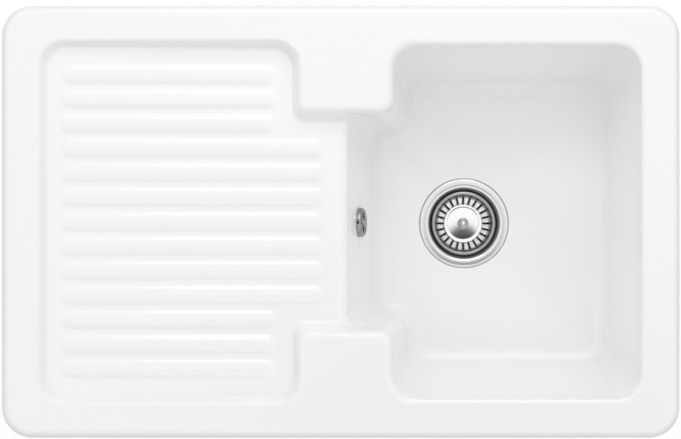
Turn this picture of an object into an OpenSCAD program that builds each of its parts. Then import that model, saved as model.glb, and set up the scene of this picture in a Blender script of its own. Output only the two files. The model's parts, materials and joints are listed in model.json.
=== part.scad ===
// Inset kitchen sink in glazed fireclay with a ribbed drainer, a basket strainer waste and an overflow.
// Millimetres. The origin is the middle of the sink in the plane of the worktop.
// X runs along the sink towards the bowl, Y to the back, Z up.

/* [Rim] */
// Overall length of the sink
sink_l = 800; // [780:5:860]
// Overall width of the sink, front to back
sink_w = 510; // [500:5:540]
// Corner radius of the rim in plan
corner_r = 36; // [30:1:50]
// Height of the rim above the worktop
rim_h = 12; // [11.5:0.5:15]
// Radius of the roll along the rim's outer edge
rim_roll = 10; // [6:0.5:10]
// Width of the flat rim between the outer edge and the drainer or the bowl
rim_margin = 42; // [40:1:46]
// How far the rim laps over the worktop on each side
rim_lap = 12; // [11:0.5:13]
// Depth of the frame below the worktop
frame_depth = 24; // [22:1:30]
// Thickness of the fired clay
clay_t = 11; // [10:0.5:12]
// Thickness of the sealing strip under the rim
seal_t = 1.5; // [1:0.1:2.5]
// Width of the sealing strip
seal_w = 8; // [6:0.5:9]

/* [Drainer] */
// Depth of the drainer at its outer end
drain_depth = 10; // [8:0.5:11]
// Fall of the drainer's floor towards the bowl
drain_fall = 8; // [5:0.5:9]
// Width of the bank round the drainer
bank_w = 11; // [8:0.5:14]
// Corner radius of the drainer in plan
drain_corner_r = 30; // [24:1:40]
// Number of ribs
rib_count = 13; // [9:2:13]
// Distance from one rib to the next
rib_pitch = 29; // [27:0.5:30]
// Width of a rib
rib_w = 23; // [16:0.5:24]
// Height of a rib
rib_rise = 2.5; // [1.5:0.25:3.5]
// Distance from the foot of the bank to the ribs
rib_start = 18; // [12:1:30]
// Distance from the long ribs' ends to the weir
rib_stop = 20; // [14:1:30]
// Distance from the short ribs' ends to the tap ledges
rib_stop_short = 14; // [12:1:30]

/* [Tap ledges] */
// Length of a tap ledge along the sink
ledge_w = 104; // [96:1:116]
// Opening between the two ledges
ledge_gap = 274; // [250:2:280]
// Slope width of the ledges' ends above the drainer
ledge_bank = 20; // [14:1:24]
// Corner radius of a ledge in plan
ledge_r = 8; // [6:0.5:10]
// Diameter of the blind tap hole under each ledge
tap_d = 35; // [32:0.5:38]
// Clay left over the blind tap hole
tap_skin = 3; // [2:0.5:4]

/* [Bowl] */
// Depth of the bowl below the rim
bowl_depth = 180; // [170:5:210]
// Corner radius of the bowl in plan
bowl_corner_r = 30; // [24:1:40]
// Corner radius of the pocket between the ledges
pocket_r = 14; // [8:1:16]
// Radius of the roll round the bowl's edge and along the weir
lip_roll = 8; // [6:0.5:9]
// Radius between the bowl's walls and floor
floor_fillet = 18; // [12:1:20]
// Draft of the wall opposite the drainer, in degrees
draft_end = 5.6; // [4:0.1:8]
// Draft of the front and back walls, in degrees
draft_side = 9.4; // [7:0.1:11]
// Draft of the wall beside the ledges, in degrees
draft_ledge_side = 7; // [5:0.1:8]
// Draft of the wall below the weir, in degrees
draft_weir = 13.1; // [11:0.1:14]
// Draft of the pocket's sides, in degrees
draft_pocket = 4.3; // [3:0.1:6]
// Fall of the bowl's floor to the waste
floor_fall = 3.5; // [2:0.5:5]

/* [Waste] */
// Distance of the waste from the middle of the sink
waste_x = 154; // [148:1:180]
// Diameter of the flange
flange_d = 110.4; // [108:0.4:116]
// Diameter of the flange's throat at its edge
throat_d = 86; // [84:0.5:88]
// Thickness of the pressed steel
steel_t = 1.2; // [0.8:0.1:1.4]
// Thickness of the thin gasket under the flange
flange_gasket_t = 1.2; // [0.8:0.1:2]
// Width of that gasket
flange_gasket_w = 3; // [2:0.2:3.4]
// Thickness of the gasket under the bowl
body_gasket_t = 4; // [3:0.5:5]
// Depth of the strainer's seat below the flange
basket_seat = 10; // [9:0.5:12]
// Depth of the strainer basket below its lip
basket_depth = 18; // [16:0.5:20]
// Number of slots in the basket
slot_count = 24; // [16:1:28]
// Width of a slot
slot_w = 2.6; // [2:0.1:3]
// Lift of the stopper from shut to open
stopper_lift = 8; // [5:0.5:8]
// Diameter of the stopper's knob
knob_d = 12.8; // [10:0.2:16]
// Diameter of the outlet's external thread
outlet_d = 47.8; // [46:0.1:48]
// Length of the outlet's threaded spigot
outlet_l = 34; // [28:1:45]
// Wall of the moulded parts
plastic_t = 3; // [2.5:0.1:3.5]

/* [Overflow] */
// Height of the overflow below the rim
overflow_drop = 88; // [80:1:96]
// Diameter of the overflow rose
rose_d = 36.6; // [34:0.2:40]
// How far the rose stands out from the wall
rose_t = 6.5; // [4:0.1:8]
// Width of the rose's raised rim
rose_rim = 4.2; // [3:0.2:5]
// Depth of the rose's dished middle
rose_dish = 2; // [1:0.1:2.5]
// Diameter of the hole in the bowl's wall
overflow_hole_d = 30; // [28:0.5:31]
// Bend radius of the hose
hose_bend = 50; // [45:1:56]
// Outer diameter of the hose over its ribs
hose_d = 27; // [25:0.5:28]
// Height of the hose's ribs
hose_rib = 2; // [1:0.25:2.5]
// Wall of the hose
hose_wall = 1.6; // [1.2:0.1:2]
// Distance from one hose rib to the next
hose_pitch = 4; // [3.5:0.25:6]

/* [Fixing clips] */
// Distance of the clips on the drainer's side from the middle
clip_x_drain = 250; // [200:5:300]
// Distance of the clips on the bowl's side from the middle
clip_x_bowl = 205; // [150:5:260]
// Distance of a clip's screw from the frame's side
clip_inset = 11; // [10.5:0.5:12]
// Thickest worktop that the clips pass under
worktop_max = 40; // [30:1:42]
// Travel of a clip's screw
clip_travel = 15; // [8:0.5:15]
// Diameter of the clips' screws
clip_screw_d = 5; // [4:0.5:5]
// Width of a claw
claw_w = 14; // [10:0.5:14]
// Thickness of a claw
claw_t = 2.5; // [2:0.1:3]

/* [Hidden] */
$fn = 64;

// Overshoot of cuts beyond the faces they pass
over = 1;
// Clearance of a part that slides or turns in another, on the radius
run = 0.08;
// Gap between curved faces that would touch
gap = 0.3;

// Levels of the clay
frame_l = sink_l - 2 * rim_lap;
frame_w = sink_w - 2 * rim_lap;
frame_r = corner_r - rim_lap;
drain_x0 = -sink_l / 2 + rim_margin;
bowl_x1 = sink_l / 2 - rim_margin;
bowl_y = sink_w / 2 - rim_margin;
ledge_x = ledge_w / 2;
ledge_y = ledge_gap / 2;
// How far the weir's roll starts above the drainer's floor, so that the two surfaces cross
weir_proud = 0.4;
weir_drop = drain_depth + drain_fall - weir_proud;
drain_foot_x = drain_x0 + bank_w;
// How far the drainer's sides close in over the weir
neck_in = 9;
flange_z = rim_h - bowl_depth - floor_fall;
under_z = flange_z - clay_t;

// Waste levels, below the flange's top
rebate_clear = 0.8;
rebate_depth = flange_gasket_t + steel_t + 0.4;
rebate_z = flange_z - rebate_depth;
throat_r = throat_d / 2;
cup_r = throat_r - 4.6;
cup_foot_r = throat_r - 9;
seat_hole_r = 19;
lip_r = cup_r + 1.6;
screw_r = 3;
screw_head_r = 5;
screw_head_h = 3;
hub_r = 8;
insert_r = 4.6;
insert_l = 12;
body_r = throat_r + 6;
body_top_z = under_z - body_gasket_t;
outlet_r = outlet_d / 2;
outlet_bore_r = outlet_r - plastic_t - 1.9;

// The stopper shut: seat, seal and clip, then its lift and the basket above
bush_r = 5;
bush_t = 1.2;
stem_r = 2.5;
stem_foot_r = 8;
seal_h = 6.5;
clip_h = 1.2;
basket_t = 0.9;
cup_depth = basket_seat - gap + basket_depth + bush_t + stopper_lift + 0.4 + clip_h + seal_h;
cup_floor_z = flange_z - cup_depth - steel_t;
body_foot_z = cup_floor_z - 6;
cone_h = 22;
spigot_z = body_foot_z - cone_h;
seal_top_z = -cup_depth + seal_h;
stem_foot_z = -cup_depth + screw_head_h + 0.8;

// The flange's upper side as [r, z below its top], from its edge to the seat hole
FLANGE_LINE = [
    [flange_d / 2, -1.1], [flange_d / 2 - 1.2, -0.2], [throat_r + 4.5, 0], [throat_r + 1.8, -0.6],
    [throat_r + 0.4, -2.2], [cup_r + 1.9, -basket_seat], [cup_r - 0.4, -basket_seat - 1.2],
    [cup_foot_r, -cup_depth + 6], [cup_foot_r - 4, -cup_depth + 1], [seat_hole_r, -cup_depth]
];
// The basket's upper side, in the same form
basket_lip_z = -basket_seat + basket_t + gap;
basket_floor_z = basket_lip_z - basket_depth;
disc_r = 21;
slot_r = 34.5;
BASKET_LINE = [
    [lip_r - 0.4, basket_lip_z], [cup_r - 1.4, basket_lip_z + 0.5], [cup_r - 2.4, basket_lip_z - 0.4],
    [slot_r + 0.5, basket_lip_z - basket_depth * 0.55], [slot_r - 1, basket_lip_z - basket_depth * 0.65],
    [disc_r + 0.8, basket_floor_z + 0.3], [disc_r - 0.5, basket_floor_z]
];

// Overflow levels
wall_n = clay_t * cos(draft_weir);
rose_wall = 1;
rose_floor = rose_t - rose_dish;
rose_hub_r = 5.4;
overflow_z = rim_h - overflow_drop;
overflow_x = weir_x(overflow_drop);
elbow_r = overflow_hole_d / 2 + 7;
elbow_l = 28;
ovf_gasket_t = 3;
tail_r = hose_d / 2 + 2.5;
tail_bore_r = tail_r - plastic_t - 1.5;
tail_down = 30;
washer_t = 2;
nut_r = tail_r + 3.5;
nut_l = 16;
nut_end_t = 3;
collar_t = 2;
elbow_back = wall_n + ovf_gasket_t + elbow_l / 2;
elbow_x = overflow_x - elbow_back * cos(draft_weir);
elbow_z = overflow_z - elbow_back * sin(draft_weir);
tail_z = elbow_z - tail_down;
port_z = under_z - nut_r - 6;
port_l = 22;
port_x = waste_x - body_r - plastic_t - port_l;

// Clip levels
claw_z = -(worktop_max + 20);
toe_up = claw_z + 16;
heel_up = -frame_depth - clip_travel - 0.5;
anchor_r = 4.5;
anchor_l = 26;
screw_engage = 10;
clip_y = frame_w / 2 - clip_inset;
toe_reach = sink_w / 2 - clip_y - 1.5;
heel_reach = 11;
clip_head_r = 5;
clip_head_h = 4;
// Each clip: its place and how far it is turned about the vertical
CLIPS = [
    [clip_x_bowl, clip_y, 0], [-clip_x_drain, clip_y, 0],
    [-clip_x_drain, -clip_y, 180], [clip_x_bowl, -clip_y, 180]
];

// Level of the drainer's floor at x
function drain_z(x) =
    rim_h - drain_depth - drain_fall * (x - drain_foot_x) / (-drain_foot_x);

// How far a quarter round of radius r stands out at depth u below its top
function roll_out(u, r) = u <= 0 ? r : u >= r ? 0 : r - sqrt(r * r - (r - u) * (r - u));

// Place of the wall below the weir at depth h below the rim
function weir_x(h) =
    lip_roll - roll_out(h - weir_drop, lip_roll)
    + max(0, h - weir_drop - lip_roll) * tan(draft_weir);

// How far the fillet at the floor stands in at depth h below the rim
function foot_in(h) =
    let (u = h - (bowl_depth - floor_fillet))
    u <= 0 ? 0 : floor_fillet - sqrt(max(0, floor_fillet * floor_fillet - u * u));

function unit(v) = v / norm(v);
function turn(v, a) = [v.x * cos(a) - v.y * sin(a), v.x * sin(a) + v.y * cos(a)];
function cross2(a, b) = a.x * b.y - a.y * b.x;

// One corner of an outline as an arc of n steps: p is the corner, a and b its neighbours, r its radius
function corner_arc(p, a, b, r, n) =
    let (
        u = unit(a - p),
        v = unit(b - p),
        half = acos(min(1, max(-1, u * v))) / 2,
        mid = p + unit(u + v) * r / sin(half),
        s = p + u * r / tan(half) - mid,
        sweep = (180 - 2 * half) * sign(cross2(-u, v))
    )
    [for (k = [0 : n]) mid + turn(s, sweep * k / n)];

// An outline with round corners: each corner is [x, y, r], anticlockwise
function rounded(c, n) =
    let (m = len(c))
    [for (i = [0 : m - 1])
        let (
            p = [c[i][0], c[i][1]],
            a = [c[(i + m - 1) % m][0], c[(i + m - 1) % m][1]],
            b = [c[(i + 1) % m][0], c[(i + 1) % m][1]]
        )
        each corner_arc(p, a, b, c[i][2], n)];

function box_corners(x0, x1, y0, y1, r) = [[x1, y0, r], [x1, y1, r], [x0, y1, r], [x0, y0, r]];
function at_level(outline, z) = [for (p = outline) [p.x, p.y, z]];

// Corners of the bowl's outline at depth h below the rim, moved outwards by d
function bowl_corners(h, d) =
    let (
        xr = bowl_x1 - lip_roll - h * tan(draft_end) + d,
        xl = ledge_x + lip_roll + h * tan(draft_ledge_side) - d,
        yb = bowl_y - lip_roll - h * tan(draft_side) + d,
        yn = ledge_y - lip_roll - h * tan(draft_pocket) + d,
        xw = weir_x(h) - d,
        big = max(6, bowl_corner_r + d),
        small = max(4, pocket_r + d),
        inner = max(2, ledge_r + lip_roll - d)
    )
    [
        [xr, -yb, big], [xr, yb, big], [xl, yb, big], [xl, yn, inner],
        [xw, yn, small], [xw, -yn, small], [xl, -yn, inner], [xl, -yb, big]
    ];

// A ring on the bowl's inside at depth h below the rim
function bowl_ring(h, n) =
    at_level(rounded(bowl_corners(h, roll_out(h, lip_roll) - foot_in(h)), n), rim_h - h);

// Steps of a quarter round, as shares of its radius
QUARTER = [0, 0.1, 0.4, 1];
BOWL_LEVELS = concat(
    [for (q = QUARTER) q * lip_roll],
    [for (q = QUARTER) weir_drop + q * lip_roll],
    [for (a = [0 : 22.5 : 90]) bowl_depth - floor_fillet * (1 - sin(a))]
);

// The floor's last ring: a circle round the waste, point by point towards the outline
function floor_ring(outline, r, z) =
    [for (p = outline)
        let (v = unit([p.x - waste_x, p.y]))
        [waste_x + r * v.x, r * v.y, z]];

// Corners of the drainer's outline: s runs from 0 at the rim to 1 at the floor
function drain_corners(s) =
    let (
        x0 = drain_x0 + bank_w * s,
        x1 = -ledge_x - bank_w * s,
        yb = bowl_y - bank_w * s,
        yn = ledge_y - ledge_bank * s,
        xe = lip_roll + 3,
        xs = -lip_roll / 2,
        ye = yn - neck_in,
        big = drain_corner_r - bank_w * s / 2,
        inner = ledge_r + bank_w * s / 2
    )
    [
        [xe, -ye, 1], [xe, ye, 1], [xs, yn, 1], [x1, yn, inner], [x1, yb, big],
        [x0, yb, big], [x0, -yb, big], [x1, -yb, big], [x1, -yn, inner],
        [xs, -yn, 1]
    ];

// A ring on the drainer's bank, at share s of its width and share v of its depth
function drain_ring(s, v, n) =
    [for (p = rounded(drain_corners(s), n))
        [p.x, p.y, rim_h + (drain_z(p.x) - rim_h) * v]];

BANK = [[0, 0], [0.15, 0.07], [0.35, 0.28], [0.65, 0.72], [0.85, 0.93], [1, 1]];

// A closed solid through rings of equally many points, the first ring on top
module loft(rings) {
    n = len(rings[0]);
    m = len(rings);
    polyhedron(
        points = [for (r = rings) each r],
        faces = concat(
            [[for (i = [n - 1 : -1 : 0]) i]],
            [for (k = [0 : m - 2], i = [0 : n - 1], t = [0, 1])
                let (a = k * n + i, b = k * n + (i + 1) % n)
                t == 0 ? [a, b, b + n] : [a, b + n, a + n]],
            [[for (i = [0 : n - 1]) (m - 1) * n + i]]
        )
    );
}

module prism(outline, z0, z1) {
    translate([0, 0, z0]) linear_extrude(z1 - z0) polygon(outline);
}

module ring(r_in, r_out, z0, z1) {
    translate([0, 0, z0]) difference() {
        cylinder(r = r_out, h = z1 - z0);
        translate([0, 0, -over]) cylinder(r = r_in, h = z1 - z0 + 2 * over);
    }
}

module at_waste() {
    translate([waste_x, 0, 0]) children();
}

// Local Z leaves the wall square to it, into the bowl, from the wall's inside
module at_overflow() {
    translate([overflow_x, 0, overflow_z]) rotate([0, 90 - draft_weir, 0]) children();
}

module at_tail() {
    translate([elbow_x, 0, 0]) children();
}

// Local Z points along the port, away from the waste
module at_port() {
    translate([waste_x, 0, port_z]) rotate([0, -90, 0]) children();
}

module at_clip(i) {
    translate([CLIPS[i][0], CLIPS[i][1], 0]) rotate([0, 0, CLIPS[i][2]]) children();
}

// Sink body

module rim_plate() {
    steps = [90, 60, 30, 0];
    outline = rounded(box_corners(-sink_l / 2, sink_l / 2, -sink_w / 2, sink_w / 2, corner_r), 7);
    loft(concat(
        [for (a = steps)
            let (d = rim_roll * (1 - cos(a)))
            at_level(
                rounded(box_corners(-sink_l / 2 + d, sink_l / 2 - d, -sink_w / 2 + d, sink_w / 2 - d,
                                    corner_r - d), 7),
                rim_h - rim_roll * (1 - sin(a)))],
        [at_level(outline, seal_t)]
    ));
}

module frame_slab() {
    prism(rounded(box_corners(-frame_l / 2, frame_l / 2, -frame_w / 2, frame_w / 2, frame_r), 7),
          -frame_depth, seal_t + over);
}

module bowl_shell() {
    foot = bowl_depth - floor_fillet;
    levels = [rim_h + over, weir_drop + lip_roll, foot, foot + floor_fillet * 0.5, bowl_depth];
    insets = [0, 0, 0, floor_fillet * 0.13, floor_fillet * 0.55];
    loft(concat(
        [for (k = [0 : len(levels) - 1])
            at_level(rounded(bowl_corners(levels[k], clay_t - insets[k]), 4), rim_h - levels[k])],
        [at_level(rounded(bowl_corners(bowl_depth, clay_t - floor_fillet), 4), under_z)]
    ));
}

module bowl_void() {
    rings = [for (h = BOWL_LEVELS) bowl_ring(h, 5)];
    loft(concat(
        [[for (p = rings[0]) [p.x, p.y, rim_h + over]]],
        rings,
        [floor_ring(rings[len(rings) - 1], flange_d / 2 + rebate_clear + 0.5, flange_z)]
    ));
}

module drain_void() {
    rings = [for (b = BANK) drain_ring(b[0], b[1], 4)];
    loft(concat([[for (p = rings[0]) [p.x, p.y, rim_h + over]]], rings));
}

// A rib between x0 and x1 with round ends and eased edges
module rib(x0, x1, y) {
    r = rib_w / 2;
    hull() for (x = [x0 + r, x1 - r]) translate([x, y, drain_z(x)]) {
        translate([0, 0, -over]) cylinder(r = r, h = over, $fn = 24);
        cylinder(r = r - rib_rise * 0.4, h = rib_rise * 0.7, $fn = 24);
        cylinder(r = r - rib_rise * 1.4, h = rib_rise, $fn = 24);
    }
}

module drain_ribs() {
    half = (rib_count - 1) / 2;
    x0 = drain_foot_x + rib_start;
    for (i = [-half : half]) {
        y = i * rib_pitch;
        long = abs(y) + rib_w / 2 < ledge_y - ledge_bank;
        rib(x0, long ? -rib_stop : -ledge_x - bank_w - rib_stop_short, y);
    }
}

// Hollows under the drainer, with a web between them
module under_pockets() {
    web = 12;
    wall = 4;
    x0 = drain_foot_x + wall;
    x1 = -ledge_x - bank_w;
    xm = (x0 + x1) / 2;
    yp = bowl_y - bank_w - wall;
    for (span = [[x0, xm - web / 2], [xm + web / 2, x1]]) {
        difference() {
            prism(rounded(box_corners(span[0], span[1], -yp, yp, 12), 4),
                  -frame_depth - over, rim_h);
            rotate([90, 0, 0]) translate([0, 0, -yp - over]) linear_extrude(2 * yp + 2 * over)
                polygon([
                    [x0 - over, drain_z(x0 - over) - clay_t], [x1 + over, drain_z(x1 + over) - clay_t],
                    [x1 + over, rim_h + over], [x0 - over, rim_h + over]
                ]);
        }
    }
}

// Room for the tap's nut under each ledge, and the blind tap hole
module tap_rooms() {
    y0 = ledge_y + clay_t - 2;
    y1 = bowl_y - 8;
    for (side = [-1, 1]) {
        prism(rounded(box_corners(-ledge_x + 12, ledge_x - 12,
                                  min(side * y0, side * y1), max(side * y0, side * y1), 10), 4),
              -frame_depth - over, rim_h - clay_t);
        translate([0, side * (y0 + y1) / 2, rim_h - clay_t - over])
            cylinder(d = tap_d, h = clay_t - tap_skin + over);
    }
}

module sink_body() {
    color("white") difference() {
        union() {
            rim_plate();
            frame_slab();
            bowl_shell();
            at_waste() translate([0, 0, under_z])
                cylinder(r = flange_d / 2 + 8, h = clay_t - rebate_depth - 0.5);
        }
        bowl_void();
        difference() {
            drain_void();
            drain_ribs();
        }
        under_pockets();
        tap_rooms();
        at_waste() {
            translate([0, 0, rebate_z]) cylinder(r = flange_d / 2 + rebate_clear, h = rebate_depth + over);
            translate([0, 0, under_z - over]) cylinder(r = throat_r + 2, h = clay_t + over);
        }
        at_overflow() translate([0, 0, -wall_n - 8]) cylinder(d = overflow_hole_d, h = wall_n + 12);
        for (i = [0 : 3]) at_clip(i) translate([0, 0, -frame_depth - over])
            cylinder(r = anchor_r + 0.02, h = anchor_l + 2 + over);
    }
}

module rim_seal() {
    inset = (rim_lap - seal_w) / 2;
    color("dimgray") difference() {
        prism(rounded(box_corners(-sink_l / 2 + inset, sink_l / 2 - inset, -sink_w / 2 + inset,
                                  sink_w / 2 - inset, corner_r - inset), 7), 0, seal_t);
        prism(rounded(box_corners(-sink_l / 2 + inset + seal_w, sink_l / 2 - inset - seal_w,
                                  -sink_w / 2 + inset + seal_w, sink_w / 2 - inset - seal_w,
                                  corner_r - inset - seal_w), 7), -over, seal_t + over);
    }
}

// Waste

// A line moved square to itself by t, kept simple by moving each point along the mean normal
function offset_line(line, t) =
    [for (i = [0 : len(line) - 1])
        let (
            a = line[max(0, i - 1)],
            b = line[min(len(line) - 1, i + 1)],
            d = unit(b - a)
        )
        line[i] + t * [-d.y, d.x]];

function sheet(line, t) =
    let (back = offset_line(line, t))
    concat(line, [for (i = [len(line) - 1 : -1 : 0]) back[i]]);

module waste_flange() {
    color("lightgray") at_waste() translate([0, 0, flange_z]) {
        difference() {
            union() {
                rotate_extrude() polygon(sheet(FLANGE_LINE, steel_t));
                translate([0, 0, -cup_depth - steel_t]) {
                    cylinder(r = hub_r, h = steel_t);
                    for (a = [60, 180, 300]) rotate([0, 0, a]) translate([0, -3, 0])
                        cube([seat_hole_r + 1.5, 6, steel_t]);
                }
            }
            translate([0, 0, -cup_depth - steel_t - over]) cylinder(r = screw_r + 0.3, h = steel_t + 2 * over);
        }
    }
}

module flange_gasket() {
    color("black") at_waste()
        ring(flange_d / 2 - 1.5 - flange_gasket_w, flange_d / 2 - 1.5, rebate_z, rebate_z + flange_gasket_t);
}

module body_gasket() {
    color("black") at_waste() ring(throat_r + 3, throat_r + 14, body_top_z, under_z);
}

module waste_body() {
    inner = [
        [body_r, body_top_z + over], [body_r, body_foot_z], [outlet_bore_r, spigot_z],
        [outlet_bore_r, spigot_z - outlet_l - over]
    ];
    color("whitesmoke") difference() {
        union() {
            at_waste() rotate_extrude() polygon([
                [0, body_top_z], [throat_r + 15, body_top_z], [throat_r + 15, body_top_z - 5],
                [body_r + plastic_t, body_top_z - 7], [body_r + plastic_t, body_foot_z],
                [outlet_r, spigot_z - 2], [outlet_r, spigot_z - outlet_l],
                [0, spigot_z - outlet_l]
            ]);
            at_port() cylinder(r = tail_r, h = body_r + plastic_t + port_l);
        }
        difference() {
            union() {
                at_waste() rotate_extrude() polygon(concat([[0, body_top_z + over]], inner,
                    [[0, spigot_z - outlet_l - over]]));
                at_port() cylinder(r = tail_bore_r, h = body_r + plastic_t + port_l + over);
            }
            at_waste() {
                translate([0, 0, cup_floor_z - insert_l - 4]) cylinder(r = hub_r, h = insert_l + 2);
                for (a = [60, 180, 300]) rotate([0, 0, a])
                    translate([0, -plastic_t / 2, cup_floor_z - insert_l - 4])
                        cube([body_r + 1, plastic_t, insert_l - 2]);
            }
        }
        at_waste() translate([0, 0, cup_floor_z - insert_l - 6]) cylinder(r = insert_r, h = insert_l + 8);
    }
}

module clamp_insert() {
    color("goldenrod") at_waste()
        ring(screw_r, insert_r, cup_floor_z - insert_l - 3, cup_floor_z - 3);
}

module clamp_screw() {
    head_z = flange_z - cup_depth;
    color("silver") at_waste() difference() {
        union() {
            translate([0, 0, head_z]) cylinder(r = screw_head_r, h = screw_head_h);
            translate([0, 0, head_z - 22]) cylinder(r = screw_r, h = 22 + 0.5);
        }
        translate([-screw_head_r, -0.6, head_z + screw_head_h - 1.2]) cube([2 * screw_head_r, 1.2, 2]);
    }
}

module strainer_basket() {
    color("gainsboro") at_waste() translate([0, 0, flange_z]) difference() {
        union() {
            rotate_extrude() polygon(sheet(BASKET_LINE, basket_t));
            translate([0, 0, basket_floor_z - basket_t]) cylinder(r = disc_r, h = basket_t);
        }
        for (i = [0 : slot_count - 1]) rotate([0, 0, i * 360 / slot_count])
            translate([disc_r + 1, -slot_w / 2, basket_floor_z - 2 * basket_t])
                cube([slot_r - disc_r - 2, slot_w, basket_depth * 0.5]);
        translate([0, 0, basket_floor_z - 2]) cylinder(r = bush_r, h = 4);
    }
}

module stem_bush() {
    color("ivory") at_waste() translate([0, 0, flange_z]) difference() {
        union() {
            translate([0, 0, basket_floor_z - basket_t - bush_t]) cylinder(r = bush_r, h = basket_t + bush_t);
            translate([0, 0, basket_floor_z]) cylinder(r = bush_r + 1, h = 1);
        }
        translate([0, 0, basket_floor_z - 4]) cylinder(r = stem_r + run, h = 8);
    }
}

module basket_stem() {
    color("silver") at_waste() translate([0, 0, flange_z]) {
        translate([0, 0, stem_foot_z]) cylinder(r = stem_foot_r, h = 1);
        translate([0, 0, stem_foot_z]) cylinder(r = stem_r, h = basket_floor_z + 8 - stem_foot_z);
    }
}

// Rubber stopper, shut on the seat round the hole
module stopper_seal() {
    r = seat_hole_r + 5;
    color("black") at_waste() translate([0, 0, flange_z]) rotate_extrude() polygon([
        [stem_r, stem_foot_z + 1], [stem_foot_r + 1, stem_foot_z + 1], [stem_foot_r + 1.5, stem_foot_z],
        [seat_hole_r + 0.5, -cup_depth + 1.3], [r, -cup_depth + 2.6], [r, -cup_depth + 4.2],
        [stem_foot_r, seal_top_z], [stem_r, seal_top_z]
    ]);
}

module stem_clip() {
    color("ivory") at_waste() translate([0, 0, flange_z])
        ring(stem_r, 5.5, seal_top_z, seal_top_z + clip_h);
}

module basket_knob() {
    z0 = basket_floor_z + 2;
    r = knob_d / 2;
    color("silver") at_waste() translate([0, 0, flange_z]) difference() {
        rotate_extrude() polygon([
            [0, z0], [r * 0.62, z0], [r * 0.55, z0 + 2.5], [r, z0 + 5], [r, z0 + 7], [r * 0.86, z0 + 8.2],
            [r * 0.5, z0 + 8.9], [0, z0 + 9.1]
        ]);
        translate([0, 0, z0 - over]) cylinder(r = stem_r, h = 6 + over);
    }
}

// Overflow

// Pressed rose: a round rim, a dished middle with four openings, and a slot at its top that lets air in
module overflow_rose() {
    r = rose_d / 2;
    t = rose_t;
    dish_r = r - rose_rim;
    color("silver") at_overflow() difference() {
        rotate_extrude() polygon([
            [0, 0], [r, 0], [r, t * 0.45], [r - rose_rim * 0.15, t * 0.78], [r - rose_rim * 0.42, t * 0.96],
            [r - rose_rim * 0.6, t], [r - rose_rim * 0.85, t - rose_dish * 0.4],
            [dish_r, rose_floor], [0, rose_floor]
        ]);
        rotate_extrude() polygon([
            [rose_hub_r, -over], [r - rose_wall, -over], [r - rose_wall, t * 0.45],
            [r - rose_rim * 0.6, t - rose_wall], [dish_r, rose_floor - rose_wall],
            [rose_hub_r, rose_floor - rose_wall]
        ]);
        for (a = [0 : 90 : 270]) rotate([0, 0, a + 45]) intersection() {
            ring(rose_hub_r + 0.8, dish_r - 0.8, -over, t);
            translate([0, 0, -over]) linear_extrude(t)
                polygon([[1.2, 0], [r, -r + 2.2], [r + 4, 0], [r, r - 2.2]]);
        }
        rotate([0, 0, 180]) translate([r - rose_wall - 1, -2.2, 1]) cube([rose_wall + 2, 4.4, 2.4]);
        translate([0, 0, -over]) cylinder(r = 2.7, h = t);
    }
}

module overflow_screw() {
    l = elbow_back - 4;
    color("silver") at_overflow() difference() {
        union() {
            translate([0, 0, rose_floor]) rotate_extrude()
                polygon([[0, 0], [4.6, 0], [4.4, 1], [3, 1.8], [0, 2.1]]);
            translate([0, 0, -l]) cylinder(r = 2.5, h = l + rose_floor + 0.5);
        }
        translate([-5, -0.5, rose_floor + 1]) cube([10, 1, 2]);
    }
}

module overflow_gasket() {
    color("black") at_overflow()
        ring(overflow_hole_d / 2 + 1, elbow_r, -wall_n - ovf_gasket_t, -wall_n);
}

module overflow_elbow() {
    z0 = -wall_n - ovf_gasket_t;
    color("whitesmoke") difference() {
        union() {
            at_overflow() translate([0, 0, z0 - elbow_l]) cylinder(r = elbow_r, h = elbow_l);
            at_tail() translate([0, 0, tail_z]) cylinder(r = tail_r, h = tail_down);
        }
        difference() {
            union() {
                at_overflow() translate([0, 0, z0 - elbow_l + plastic_t])
                    cylinder(r = elbow_r - plastic_t, h = elbow_l);
                at_tail() translate([0, 0, tail_z - over]) cylinder(r = tail_bore_r, h = tail_down + over);
            }
            at_overflow() translate([0, 0, z0 - elbow_l]) cylinder(r = 6, h = elbow_l * 0.62);
        }
        at_overflow() translate([0, 0, -elbow_back - 8]) cylinder(r = 3.6, h = elbow_l);
    }
}

module overflow_insert() {
    color("goldenrod") at_overflow() ring(2.5, 3.6, -elbow_back - 3, -elbow_back + 7);
}

// Hose: down from the elbow, one bend, and along to the waste body
hose_z0 = tail_z - washer_t;
hose_x1 = port_x - washer_t;
run_down = hose_z0 - (port_z + hose_bend);
run_along = hose_x1 - (elbow_x + hose_bend);
arc_l = hose_bend * PI / 2;
hose_l = run_down + arc_l + run_along;
cuff_l = 20;
hose_sides = 8;

// Turn of the hose's direction at length s: 0 is down, 90 is along
function hose_turn(s) = s <= run_down ? 0 : s >= run_down + arc_l ? 90 : (s - run_down) / arc_l * 90;
function hose_at(s) =
    let (a = hose_turn(s), past = max(0, s - run_down - arc_l))
    [
        elbow_x + hose_bend * (1 - cos(a)) + past, 0,
        hose_z0 - min(s, run_down) - hose_bend * sin(a)
    ];
function hose_ring(s, r) =
    let (c = hose_at(s), a = hose_turn(s))
    [for (k = [0 : hose_sides - 1])
        let (b = 360 * (k + 0.5) / hose_sides)
        c + r * cos(b) * [0, 1, 0] + r * sin(b) * [cos(a), 0, sin(a)]];

rib_n = floor((hose_l - 2 * cuff_l) / hose_pitch);
rib_step = (hose_l - 2 * cuff_l) / rib_n;
cuff_r = hose_d / 2 - 0.6;
collar_r = tail_r - 0.4;
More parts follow.
